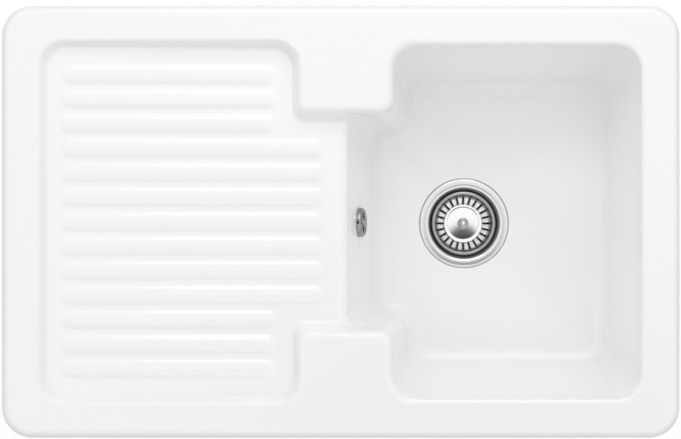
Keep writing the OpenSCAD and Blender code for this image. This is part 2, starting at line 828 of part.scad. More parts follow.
// Outer skin as [length along the hose, radius]
HOSE_SKIN = concat(
    [[0, collar_r], [collar_t, collar_r], [collar_t + 0.01, cuff_r], [cuff_l, cuff_r]],
    [for (i = [0 : rib_n - 1]) each [
        [cuff_l + (i + 0.25) * rib_step, hose_d / 2 - hose_rib],
        [cuff_l + (i + 0.75) * rib_step, hose_d / 2]
    ]],
    [[hose_l - cuff_l + 0.01, cuff_r], [hose_l - collar_t - 0.01, cuff_r],
     [hose_l - collar_t, collar_r], [hose_l, collar_r]]
);

module overflow_hose() {
    bore = hose_d / 2 - hose_rib - hose_wall;
    outer = [for (p = HOSE_SKIN) hose_ring(p[0], p[1])];
    steps = 24;
    inner = [for (i = [0 : steps]) hose_ring(hose_l * (1 - i / steps), bore)];
    rings = concat(outer, inner);
    n = hose_sides;
    m = len(rings);
    color("lightgray") polyhedron(
        points = [for (r = rings) each r],
        faces = [for (k = [0 : m - 1], i = [0 : n - 1], t = [0, 1])
            let (
                a = k * n + i,
                b = k * n + (i + 1) % n,
                c = ((k + 1) % m) * n + (i + 1) % n,
                d = ((k + 1) % m) * n + i
            )
            t == 0 ? [a, c, b] : [a, d, c]]
    );
}

// Coupling nut: local Z runs from its open end to the end that holds the hose, from the tube's end
module hose_nut() {
    grip = 12;
    end_z = washer_t + collar_t + 0.2;
    difference() {
        union() {
            translate([0, 0, end_z + nut_end_t - nut_l]) cylinder(r = nut_r - 1, h = nut_l);
            for (a = [0 : 360 / grip : 359]) rotate([0, 0, a])
                translate([nut_r - 2, -1.5, end_z + nut_end_t - nut_l + 3]) cube([2, 3, nut_l - 3]);
        }
        translate([0, 0, end_z - nut_l - over]) cylinder(r = tail_r + 0.15, h = nut_l + over);
        translate([0, 0, end_z - over]) cylinder(r = hose_d / 2 + 0.2, h = nut_end_t + 2 * over);
    }
}

module hose_nut_upper() {
    color("gray") at_tail() translate([0, 0, tail_z]) rotate([180, 0, 0]) hose_nut();
}

module hose_nut_lower() {
    color("gray") translate([port_x, 0, port_z]) rotate([0, -90, 0]) hose_nut();
}

module hose_washer_upper() {
    color("black") at_tail() ring(tail_bore_r, collar_r, tail_z - washer_t, tail_z);
}

module hose_washer_lower() {
    color("black") translate([port_x, 0, port_z]) rotate([0, -90, 0])
        ring(tail_bore_r, collar_r, 0, washer_t);
}

// Fixing clips

module clip_anchors() {
    color("ivory") for (i = [0 : 3]) at_clip(i) translate([0, 0, -frame_depth]) difference() {
        cylinder(r = anchor_r, h = anchor_l);
        translate([0, 0, -over]) cylinder(r = clip_screw_d / 2 + run, h = anchor_l + 2 * over);
    }
}

module clip_screw(i) {
    tip = -frame_depth + screw_engage;
    head = claw_z - claw_t;
    color("silver") at_clip(i) {
        translate([0, 0, head]) cylinder(d = clip_screw_d, h = tip - head);
        translate([0, 0, head - clip_head_h]) cylinder(r = clip_head_r, h = clip_head_h, $fn = 6);
    }
}

// Pressed claw: the toe bites the worktop, the heel bears on the sink
module clip_claw(i) {
    t = claw_t;
    color("silver") at_clip(i) difference() {
        translate([0, claw_w / 2, 0]) rotate([90, 0, 0]) linear_extrude(claw_w) polygon([
            [-heel_reach, claw_z - t], [toe_reach, claw_z - t], [toe_reach, toe_up - 3],
            [toe_reach - t / 2, toe_up], [toe_reach - t, toe_up - 3], [toe_reach - t, claw_z],
            [-heel_reach + t, claw_z], [-heel_reach + t, heel_up], [-heel_reach, heel_up]
        ]);
        translate([0, 0, claw_z - t - over]) cylinder(d = clip_screw_d + 0.16, h = t + 2 * over);
    }
}

sink_body();
rim_seal();
waste_flange();
flange_gasket();
body_gasket();
waste_body();
clamp_screw();
clamp_insert();
strainer_basket();
stem_bush();
basket_stem();
stopper_seal();
stem_clip();
basket_knob();
overflow_rose();
overflow_screw();
overflow_gasket();
overflow_elbow();
overflow_insert();
overflow_hose();
hose_nut_upper();
hose_nut_lower();
hose_washer_upper();
hose_washer_lower();
clip_anchors();
clip_screw(0);  // clip_screw_1
clip_screw(1);  // clip_screw_2
clip_screw(2);  // clip_screw_3
clip_screw(3);  // clip_screw_4
clip_claw(0);  // clip_claw_1
clip_claw(1);  // clip_claw_2
clip_claw(2);  // clip_claw_3
clip_claw(3);  // clip_claw_4
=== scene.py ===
"""Inset fireclay kitchen sink with a ribbed drainer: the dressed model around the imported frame.

Sizes are in millimetres, the same as in the part's source, and become metres when a mesh is made.
X runs along the sink towards the bowl, Y to the back, Z up from the plane of the worktop.
"""
from __future__ import annotations

import json
import logging
import math
from dataclasses import dataclass, field
from enum import Enum
from functools import cached_property
from typing import Callable, Sequence

import bmesh
import bpy
import numpy as np
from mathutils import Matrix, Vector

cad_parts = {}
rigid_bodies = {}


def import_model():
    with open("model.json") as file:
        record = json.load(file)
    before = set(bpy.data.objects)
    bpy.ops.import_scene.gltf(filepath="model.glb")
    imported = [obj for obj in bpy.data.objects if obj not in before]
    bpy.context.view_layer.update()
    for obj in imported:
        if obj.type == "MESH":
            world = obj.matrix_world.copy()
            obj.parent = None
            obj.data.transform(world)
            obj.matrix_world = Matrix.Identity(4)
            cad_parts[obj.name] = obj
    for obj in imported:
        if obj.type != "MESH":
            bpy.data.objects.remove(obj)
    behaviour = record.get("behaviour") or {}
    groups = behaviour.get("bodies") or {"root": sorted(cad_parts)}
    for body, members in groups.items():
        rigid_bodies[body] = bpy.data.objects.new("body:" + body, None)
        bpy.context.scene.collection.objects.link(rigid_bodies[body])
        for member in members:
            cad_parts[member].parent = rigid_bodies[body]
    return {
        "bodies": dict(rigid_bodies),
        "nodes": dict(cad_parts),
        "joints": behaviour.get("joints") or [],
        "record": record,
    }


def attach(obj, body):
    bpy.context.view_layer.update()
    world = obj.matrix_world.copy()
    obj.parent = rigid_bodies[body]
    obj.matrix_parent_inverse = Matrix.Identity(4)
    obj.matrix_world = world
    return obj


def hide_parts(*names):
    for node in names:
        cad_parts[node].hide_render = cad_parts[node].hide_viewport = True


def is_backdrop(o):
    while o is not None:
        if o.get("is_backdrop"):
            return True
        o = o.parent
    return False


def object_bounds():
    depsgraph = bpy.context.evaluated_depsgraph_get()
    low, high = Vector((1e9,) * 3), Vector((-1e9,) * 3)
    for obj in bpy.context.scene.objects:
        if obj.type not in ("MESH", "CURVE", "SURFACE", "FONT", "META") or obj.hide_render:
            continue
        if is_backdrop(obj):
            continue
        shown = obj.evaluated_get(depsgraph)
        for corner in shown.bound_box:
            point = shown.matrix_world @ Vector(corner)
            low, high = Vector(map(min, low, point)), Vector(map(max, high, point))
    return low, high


LOG = logging.getLogger("sink")
MM = 0.001
MERGE_M = 2e-6
SLIVER_M = 1e-7
Array = np.ndarray
Box = tuple[float, float, float, float]
Rows = tuple[tuple[float, float], ...]
GroupParts = tuple[bpy.types.NodeTree, bpy.types.Node, bpy.types.Node]
WASTE_AXIS = (154.0, 0.0)
CLIP_PLACES = ((205.0, 232.0), (-250.0, 232.0), (-250.0, -232.0), (205.0, -232.0))


# Shapes in general


def smooth(t: Array) -> Array:
    """Rises from 0 to 1 with level ends: three t squared less two t cubed, t held between 0 and 1."""
    t = np.clip(t, 0.0, 1.0)
    return t * t * (3.0 - 2.0 * t)


def roll_out(depth: Array, radius: Array) -> Array:
    """How far a quarter round stands out at a depth below its top.

    The radius, less the root of its square less the square of (radius - depth); the radius above the
    top and nothing below the round.

    Args:
        depth: Depths below the top of the round.
        radius: Radius of the round.

    Returns:
        The reach at each depth.
    """
    u = np.clip(depth, 0.0, radius)
    return radius - np.sqrt(np.maximum(radius**2 - (radius - u) ** 2, 0.0))


def box_distance(x: Array, y: Array, half_x: Array, half_y: Array, radius: Array) -> Array:
    """Signed distance to a rectangle with round corners about the origin, less than 0 inside.

    The length of the part of (|x|, |y|) beyond the corner's centre, plus the greater negative part,
    less the corner's radius.

    Args:
        x: Places across x.
        y: Places across y.
        half_x: Half the rectangle's side across x.
        half_y: Half its side across y.
        radius: Radius of its corners.

    Returns:
        The distance at each place.
    """
    qx = np.abs(x) - half_x + radius
    qy = np.abs(y) - half_y + radius
    outside = np.hypot(np.maximum(qx, 0.0), np.maximum(qy, 0.0))
    return outside + np.minimum(np.maximum(qx, qy), 0.0) - radius


def round_union(a: Array, b: Array, radius: Array) -> Array:
    """Union of two distances whose inner corner is filled out to a quarter round of that radius."""
    within = np.hypot(np.maximum(radius - a, 0.0), np.maximum(radius - b, 0.0))
    return np.maximum(radius, np.minimum(a, b)) - within


def soft_min(a: Array, b: Array, reach: Array) -> Array:
    """The lesser of a and b, eased by the square of what |a - b| lacks to reach, over four times reach."""
    lack = np.maximum(reach - np.abs(a - b), 0.0)
    return np.minimum(a, b) - lack**2 / np.maximum(4.0 * reach, 1e-9)


def halve(rises: Callable[[Array], Array], low: Array, high: Array, steps: int = 30) -> Array:
    """Where a function that rises crosses 0, found by halving the span between low and high.

    Args:
        rises: The function of the wanted number, rising from below 0 to above it.
        low: Lower end of the span at each point.
        high: Upper end of the span at each point.
        steps: Number of halvings.

    Returns:
        The crossing at each point, or the end of the span that it lies beyond.
    """
    low, high = low.astype(float).copy(), high.astype(float).copy()
    for _ in range(steps):
        middle = (low + high) / 2.0
        over = rises(middle) > 0.0
        high = np.where(over, middle, high)
        low = np.where(over, low, middle)
    return (low + high) / 2.0


def quarter(steps: int) -> Array:
    """Angles of a quarter round in radians, without the first."""
    return np.linspace(0.0, math.pi / 2.0, steps + 1)[1:]


def spans(*parts: tuple[float, float, int]) -> Array:
    """Lines over several spans, each given as its start, end and number of steps, sorted and unlike."""
    lines = np.concatenate([np.linspace(a, b, n + 1) for a, b, n in parts])
    return np.unique(np.round(lines, 3))


@dataclass
class Skin:
    """Points and four-sided faces of one piece while it is made, in millimetres."""

    points: list[Array] = field(default_factory=list)
    quads: list[Array] = field(default_factory=list)
    marks: list[Array] = field(default_factory=list)
    count: int = 0

    def add(self, points: Array) -> Array:
        """Adds points of any array shape (..., 3).

        Returns:
            The numbers of the points, in the same shape.
        """
        flat = points.reshape(-1, 3)
        numbers = np.arange(self.count, self.count + len(flat)).reshape(points.shape[:-1])
        self.points.append(flat)
        self.count += len(flat)
        return numbers

    def net(self, rows: Array, wrap: bool = False, keep: Array | None = None, mark: int = 0) -> None:
        """Spans quads between neighbouring rows and columns of point numbers.

        Args:
            rows: Point numbers, row by row.
            wrap: Whether the last column joins the first.
            keep: Which quads stay, as booleans by row and column.
            mark: Material number of the quads.
        """
        if wrap:
            rows = np.concatenate([rows, rows[:, :1]], axis=1)
        quads = np.stack([rows[:-1, :-1], rows[:-1, 1:], rows[1:, 1:], rows[1:, :-1]], axis=-1)
        quads = quads[keep] if keep is not None else quads.reshape(-1, 4)
        self.quads.append(quads)
        self.marks.append(np.full(len(quads), mark))

    def band(self, first: Array, rings: Sequence[Array], last: Array | None = None, mark: int = 0) -> Array:
        """A closed band from a ring of point numbers through rings of points, to a last ring of numbers.

        Args:
            first: Point numbers of the first ring.
            rings: Points of the rings after it.
            last: Point numbers of the last ring, if it is there already.
            mark: Material number of the quads.

        Returns:
            The point numbers, ring by ring.
        """
        rows = [first[None, :]]
        if len(rings):
            rows.append(self.add(np.stack(rings)))
        if last is not None:
            rows.append(last[None, :])
        numbers = np.concatenate(rows)
        self.net(numbers, wrap=True, mark=mark)
        return numbers

    def fill(self, ring: Array, across: int, along: int, mark: int = 0) -> None:
        """Closes a ring with a grid whose inner points blend its four sides, as a Coons patch does.

        The ring starts at the corner of the greatest x and the least y and runs anticlockwise: along
        steps up, across steps back, along steps down and across steps forth.

        Args:
            ring: Its point numbers.
            across: Number of steps across x.
            along: Number of steps across y.
            mark: Material number of the quads.
        """
        grid = np.zeros((across + 1, along + 1), int)
        grid[across, :] = ring[: along + 1]
        grid[::-1, along] = ring[along : along + across + 1]
        grid[0, ::-1] = ring[along + across : 2 * along + across + 1]
        grid[:, 0] = np.append(ring[2 * along + across :], ring[0])
        points = np.concatenate(self.points)[grid]
        s = np.linspace(0.0, 1.0, across + 1)[:, None, None]
        t = np.linspace(0.0, 1.0, along + 1)[None, :, None]
        blend = (
            (1 - s) * points[:1] + s * points[-1:] + (1 - t) * points[:, :1] + t * points[:, -1:]
            - (1 - s) * (1 - t) * points[0, 0] - s * (1 - t) * points[-1, 0]
            - (1 - s) * t * points[0, -1] - s * t * points[-1, -1]
        )
        grid[1:-1, 1:-1] = self.add(blend[1:-1, 1:-1])
        self.net(grid, mark=mark)

    def mesh(self, name: str) -> bpy.types.Mesh:
        """The mesh in metres, without unused points, with doubles merged and faces turned outwards."""
        data = bpy.data.meshes.new(name)
        used, corners = np.unique(np.concatenate(self.quads), return_inverse=True)
        points = np.concatenate(self.points)[used] * MM
        data.from_pydata(points.tolist(), [], corners.reshape(-1, 4).tolist())
        data.polygons.foreach_set("material_index", np.concatenate(self.marks).astype(np.int32))
        work = bmesh.new()
        work.from_mesh(data)
        bmesh.ops.remove_doubles(work, verts=work.verts, dist=MERGE_M)
        bmesh.ops.dissolve_degenerate(work, edges=work.edges, dist=SLIVER_M)
        bmesh.ops.recalc_face_normals(work, faces=work.faces)
        work.to_mesh(data)
        work.free()
        return data


def put_object(name: str, data: bpy.types.ID) -> bpy.types.Object:
    """A new object that holds the data, linked into the scene."""
    obj = bpy.data.objects.new(name, data)
    bpy.context.scene.collection.objects.link(obj)
    return obj


def weigh_normals(data: bpy.types.Mesh) -> None:
    """Gives each point the mean of its faces' normals by area, so that flats stay flat beside rounds.

    Args:
        data: The mesh that takes the normals.
    """
    faces = len(data.polygons)
    normals, areas = np.zeros(faces * 3), np.zeros(faces)
    data.polygons.foreach_get("normal", normals)
    data.polygons.foreach_get("area", areas)
    starts, totals = np.zeros(faces, np.int32), np.zeros(faces, np.int32)
    data.polygons.foreach_get("loop_start", starts)
    data.polygons.foreach_get("loop_total", totals)
    corners = np.zeros(len(data.loops), np.int32)
    data.loops.foreach_get("vertex_index", corners)
    owner = np.repeat(np.arange(faces), totals)
    weighed = (normals.reshape(-1, 3) * areas[:, None])[owner]
    sums = np.stack([np.bincount(corners, weighed[:, k], len(data.vertices)) for k in range(3)], axis=1)
    sums /= np.maximum(np.linalg.norm(sums, axis=1, keepdims=True), 1e-20)
    data.normals_split_custom_set_from_vertices(sums.tolist())


@dataclass
class Piece:
    """One finished piece: its mesh, what it rides on and what it stands for."""

    name: str
    skin: Skin
    finishes: Sequence["Finish"]
    body: str = "sink"
    stands_for: Sequence[str] = ()
    sharp: float | None = 35.0
    thickness: float = 0.0

    def build(self) -> bpy.types.Object:
        """Makes the object, with its finish, and tells the frame where it belongs."""
        data = self.skin.mesh(self.name)
        data.polygons.foreach_set("use_smooth", np.ones(len(data.polygons), bool))
        for finish in self.finishes:
            data.materials.append(finish.material())
        obj = put_object(self.name, data)
        if self.thickness:
            wall = obj.modifiers.new("wall", "SOLIDIFY")
            wall.thickness, wall.offset, wall.use_even_offset = self.thickness * MM, -1.0, True
        if self.sharp is None:
            weigh_normals(data)
        else:
            data.set_sharp_from_angle(angle=math.radians(self.sharp))
        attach(obj, self.body)
        if self.stands_for:
            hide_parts(*self.stands_for)
        LOG.info("%s: %d faces", self.name, len(data.polygons))
        return obj


# Finishes


class Group(Enum):
    """The shared effects, each one shader node group."""

    TONE = "slow_tone"
    GRAIN = "surface_grain"
    RINGS = "turned_rings"


class Socket(Enum):
    """Kinds of socket that a group has."""

    VECTOR = "NodeSocketVector"
    NUMBER = "NodeSocketFloat"
    COLOUR = "NodeSocketColor"


def open_group(group: Group, inputs: dict[str, Socket], outputs: dict[str, Socket]) -> GroupParts:
    """A new shader node group with its sockets.

    Args:
        group: Which group.
        inputs: Kind of each input by its name.
        outputs: Kind of each output by its name.

    Returns:
        The group, its input node and its output node.
    """
    tree = bpy.data.node_groups.new(group.value, "ShaderNodeTree")
    for way, sockets in (("INPUT", inputs), ("OUTPUT", outputs)):
        for label, kind in sockets.items():
            tree.interface.new_socket(label, in_out=way, socket_type=kind.value)
    return tree, tree.nodes.new("NodeGroupInput"), tree.nodes.new("NodeGroupOutput")


class Wiring:
    """Short words for putting nodes into a tree."""

    def __init__(self, tree: bpy.types.NodeTree) -> None:
        """Holds the tree."""
        self.tree = tree

    def node(self, kind: str, **values: object) -> bpy.types.Node:
        """A node of that kind, with properties set by their names."""
        made = self.tree.nodes.new(kind)
        for key, value in values.items():
            setattr(made, key, value)
        return made

    def put(self, socket: bpy.types.NodeSocket, value: object) -> None:
        """Sets a socket to a number or colour, or links another socket to it."""
        if isinstance(value, bpy.types.NodeSocket):
            self.tree.links.new(value, socket)
        else:
            socket.default_value = value

    def maths(self, operation: str, a: object, b: object = 0.0) -> bpy.types.NodeSocket:
        """One operation on two numbers."""
        made = self.node("ShaderNodeMath", operation=operation)
        self.put(made.inputs[0], a)
        self.put(made.inputs[1], b)
        return made.outputs[0]

    def noise(self, vector: object, scale: object, detail: float,
              roughness: float = 0.5) -> bpy.types.NodeSocket:
        """Noise from 0 to 1 on a vector."""
        made = self.node("ShaderNodeTexNoise")
        self.put(made.inputs["Vector"], vector)
        self.put(made.inputs["Scale"], scale)
        made.inputs["Detail"].default_value = detail
        made.inputs["Roughness"].default_value = roughness
        return made.outputs[0]


def tone_group() -> bpy.types.NodeTree:
    """Slow change between two colours: soft noise, drawn out to the whole range, mixes them."""
    inputs = {"Vector": Socket.VECTOR, "Scale": Socket.NUMBER, "Light": Socket.COLOUR, "Dark": Socket.COLOUR}
    tree, start, end = open_group(Group.TONE, inputs, {"Color": Socket.COLOUR})
    w = Wiring(tree)
    cloud = w.noise(start.outputs["Vector"], start.outputs["Scale"], detail=3.0)
    spread = w.node("ShaderNodeMapRange")
    w.put(spread.inputs["Value"], cloud)
    spread.inputs["From Min"].default_value, spread.inputs["From Max"].default_value = 0.3, 0.7
    mix = w.node("ShaderNodeMix", data_type="RGBA")
    w.put(mix.inputs["Factor"], spread.outputs[0])
    w.put(mix.inputs["A"], start.outputs["Light"])
    w.put(mix.inputs["B"], start.outputs["Dark"])
    w.put(end.inputs["Color"], mix.outputs["Result"])
    return tree


@dataclass
class Relief:
    """A group in the making that gives a roughness and a height in metres."""

    group: Group
    labels: tuple[str, ...]
    tree: bpy.types.NodeTree = field(init=False)
    end: bpy.types.Node = field(init=False)
    given: bpy.types.NodeOutputs = field(init=False)
    wiring: Wiring = field(init=False)

    def __post_init__(self) -> None:
        """Opens the group; its inputs are a vector, the labels' numbers, and the roughness's two."""
        numbers = dict.fromkeys((*self.labels, "Middle", "Spread"), Socket.NUMBER)
        outputs = dict.fromkeys(("Roughness", "Height"), Socket.NUMBER)
        self.tree, start, self.end = open_group(self.group, {"Vector": Socket.VECTOR, **numbers}, outputs)
        self.given = start.outputs
        self.wiring = Wiring(self.tree)

    def close(self, level: bpy.types.NodeSocket, height: bpy.types.NodeSocket) -> bpy.types.NodeTree:
        """Wires the outputs: roughness is the middle value plus the spread times the level."""
        w = self.wiring
        swing = w.maths("MULTIPLY", level, self.given["Spread"])
        w.put(self.end.inputs["Roughness"], w.maths("ADD", self.given["Middle"], swing))
        w.put(self.end.inputs["Height"], height)
        return self.tree


def grain_group() -> bpy.types.NodeTree:
    """Roughness and height each from a coarse and a fine noise."""
    relief = Relief(Group.GRAIN, ("Coarse", "Fine", "Coarse depth", "Fine depth"))
    w, given = relief.wiring, relief.given
    coarse = w.noise(given["Vector"], given["Coarse"], detail=2.0)
    fine = w.noise(given["Vector"], given["Fine"], detail=3.0, roughness=0.6)
    level = w.maths("SUBTRACT", w.maths("ADD", coarse, fine), 1.0)
    depths = [w.maths("MULTIPLY", noise, given[f"{name} depth"])
              for name, noise in (("Coarse", coarse), ("Fine", fine))]
    return relief.close(level, w.maths("ADD", *depths))


def rings_group() -> bpy.types.NodeTree:
    """Fine turned rings about a vertical axis: noise that reads the distance from the axis and the height."""
    relief = Relief(Group.RINGS, ("Pitch", "Depth"))
    w, given = relief.wiring, relief.given
    climb = 0.7
    parts, place = w.node("ShaderNodeSeparateXYZ"), w.node("ShaderNodeCombineXYZ")
    w.put(parts.inputs[0], given["Vector"])
    squares = [w.maths("POWER", parts.outputs[axis], 2.0) for axis in ("X", "Y")]
    w.put(place.inputs["X"], w.maths("SQRT", w.maths("ADD", *squares)))
    w.put(place.inputs["Y"], w.maths("MULTIPLY", parts.outputs["Z"], climb))
    rings = w.noise(place.outputs[0], given["Pitch"], detail=2.0, roughness=0.7)
    level = w.maths("SUBTRACT", rings, 0.5)
    return relief.close(level, w.maths("MULTIPLY", rings, given["Depth"]))


GROUP_MAKERS: dict[Group, Callable[[], bpy.types.NodeTree]] = {
    Group.TONE: tone_group, Group.GRAIN: grain_group, Group.RINGS: rings_group}


def shared_group(group: Group) -> bpy.types.NodeTree:
    """The node group, built when it is first asked for."""
    return bpy.data.node_groups.get(group.value) or GROUP_MAKERS[group]()


@dataclass(frozen=True)
class Finish:
    """One material. Colours are linear; scales are per metre; depths are in metres."""

    name: str
    slot: str
    light: tuple[float, float, float]
    dark: tuple[float, float, float]
    roughness: float
    spread: float = 0.04
    metallic: float = 0.0
    tone_scale: float = 8.0
    coarse: float = 60.0
    coarse_depth: float = 0.0
    fine: float = 1200.0
    fine_depth: float = 0.0
    ior: float = 1.5
    subsurface: float = 0.0
    turned_about: tuple[float, float] | None = None
    turned_depth: float = 0.0

    def material(self) -> bpy.types.Material:
        """The material, built once and then shared."""
        known = bpy.data.materials.get(self.name)
        if known:
            return known
        made = bpy.data.materials.new(self.name)
        made.use_nodes = True
        w = Wiring(made.node_tree)
        shader = made.node_tree.nodes["Principled BSDF"]
        where = w.node("ShaderNodeTexCoord").outputs["Object"]
        tone = w.node("ShaderNodeGroup", node_tree=shared_group(Group.TONE))
        w.put(tone.inputs["Vector"], where)
        w.put(tone.inputs["Scale"], self.tone_scale)
        w.put(tone.inputs["Light"], (*self.light, 1.0))
        w.put(tone.inputs["Dark"], (*self.dark, 1.0))
        w.put(shader.inputs["Base Color"], tone.outputs["Color"])
        relief = self.relief(w, where)
        w.put(shader.inputs["Roughness"], relief.outputs["Roughness"])
        bump = w.node("ShaderNodeBump")
        for label in ("Strength", "Distance"):
            bump.inputs[label].default_value = 1.0
        w.put(bump.inputs["Height"], relief.outputs["Height"])
        w.put(shader.inputs["Normal"], bump.outputs["Normal"])
        values = {"Metallic": self.metallic, "IOR": self.ior, "Subsurface Weight": self.subsurface}
        for label, value in values.items():
            shader.inputs[label].default_value = value
        return made

    def relief(self, w: Wiring, where: bpy.types.NodeSocket) -> bpy.types.Node:
        """The surface's group with this finish's values: rings about an axis if it is turned, else grain.

        Args:
            w: Wiring of the material.
            where: Place on the object.

        Returns:
            The group's node.
        """
        values = {"Middle": self.roughness, "Spread": self.spread}
        if self.turned_about is None:
            group = Group.GRAIN
            values |= {"Coarse": self.coarse, "Fine": self.fine, "Coarse depth": self.coarse_depth,
                       "Fine depth": self.fine_depth}
        else:
            group = Group.RINGS
            values |= {"Pitch": self.fine, "Depth": self.turned_depth}
            centre = w.node("ShaderNodeMapping", vector_type="POINT")
            w.put(centre.inputs["Vector"], where)
            centre.inputs["Location"].default_value = (*(-v * MM for v in self.turned_about), 0.0)
            where = centre.outputs[0]
        made = w.node("ShaderNodeGroup", node_tree=shared_group(group))
        w.put(made.inputs["Vector"], where)
        for label, value in values.items():
            made.inputs[label].default_value = value
        return made


GLAZE = Finish("white_glaze", "glaze", (0.962, 0.962, 0.961), (0.95, 0.951, 0.951), 0.16, spread=0.03,
               tone_scale=3.0, coarse=22.0, coarse_depth=5e-5, fine=420.0, fine_depth=1.2e-6)
BISQUE = Finish("bare_fireclay", "glaze", (0.80, 0.785, 0.75), (0.74, 0.72, 0.68), 0.75, spread=0.1,
                tone_scale=14.0, coarse=120.0, coarse_depth=2e-4, fine=1800.0, fine_depth=4e-5)
FOAM = Finish("grey_foam", "sealing_foam", (0.12, 0.12, 0.125), (0.08, 0.08, 0.085), 0.9,
              coarse=700.0, coarse_depth=1e-4, fine=3000.0, fine_depth=6e-5)
SPUN = Finish("spun_steel", "polished_steel", (0.78, 0.78, 0.77), (0.72, 0.72, 0.715), 0.2, spread=0.14,
              metallic=1.0, fine=2600.0, turned_about=WASTE_AXIS, turned_depth=1.5e-5)
MIRROR = Finish("polished_basket", "polished_steel", (0.93, 0.93, 0.925), (0.89, 0.89, 0.885), 0.1,
                spread=0.06, metallic=1.0, fine=2200.0, turned_about=WASTE_AXIS, turned_depth=2e-6)
# A darker copy of the polished steel, painted shade: it stands for the dim reflections in the waste's cup,
# the basket's lip and wall, and the knob.
PAINTED_SHADE_STEEL = Finish("painted_shade_steel", "polished_steel", (0.44, 0.44, 0.445), (0.34, 0.34, 0.345), 0.22, spread=0.1,
              metallic=1.0, fine=2400.0, turned_about=WASTE_AXIS, turned_depth=4e-6)
CHROME = Finish("bright_chrome", "chrome", (0.40, 0.40, 0.405), (0.30, 0.30, 0.305), 0.14, metallic=1.0,
                coarse=300.0, coarse_depth=4e-6, fine=3000.0, fine_depth=1e-6)
RUBBER = Finish("black_rubber_skin", "black_rubber", (0.028, 0.028, 0.03), (0.018, 0.018, 0.02), 0.55,
                coarse=250.0, coarse_depth=3e-5, fine=4000.0, fine_depth=1e-5)
WHITE_PLASTIC = Finish("white_moulding", "white_plastic", (0.80, 0.80, 0.78), (0.75, 0.75, 0.73), 0.38,
                       coarse=180.0, coarse_depth=2e-5, fine=5000.0, fine_depth=6e-6, subsurface=0.05)
GREY_PLASTIC = Finish("grey_moulding", "grey_plastic", (0.17, 0.175, 0.18), (0.14, 0.145, 0.15), 0.42,
                      coarse=220.0, coarse_depth=2e-5, fine=5000.0, fine_depth=8e-6)
HOSE_PLASTIC = Finish("ribbed_hose_skin", "hose_plastic", (0.55, 0.55, 0.54), (0.48, 0.48, 0.47), 0.35,
                      coarse=150.0, coarse_depth=2e-5, fine=4500.0, fine_depth=5e-6, subsurface=0.1)
BRASS = Finish("turned_brass", "brass", (0.76, 0.56, 0.25), (0.66, 0.47, 0.19), 0.28, metallic=1.0,
               coarse=400.0, coarse_depth=5e-6, fine=4000.0, fine_depth=2e-6)
NYLON = Finish("cream_nylon", "nylon", (0.78, 0.74, 0.62), (0.70, 0.66, 0.54), 0.45,
               coarse=260.0, coarse_depth=2e-5, fine=5200.0, fine_depth=6e-6, subsurface=0.08)
ZINC = Finish("zinc_plate", "zinc_steel", (0.60, 0.61, 0.60), (0.46, 0.48, 0.48), 0.34, spread=0.16,
              metallic=1.0, tone_scale=220.0, coarse=500.0, coarse_depth=1e-5, fine=5000.0, fine_depth=4e-6)
STEEL = Finish("plain_steel", "polished_steel", (0.70, 0.70, 0.69), (0.62, 0.62, 0.61), 0.24, metallic=1.0,
               coarse=500.0, coarse_depth=5e-6, fine=4000.0, fine_depth=2e-6)
BY_SLOT: dict[str, Finish] = {
    "glaze": GLAZE, "sealing_foam": FOAM, "polished_steel": STEEL, "black_rubber": RUBBER,
    "white_plastic": WHITE_PLASTIC, "grey_plastic": GREY_PLASTIC, "hose_plastic": HOSE_PLASTIC,
    "brass": BRASS, "chrome": CHROME, "nylon": NYLON, "zinc_steel": ZINC}


# The clay


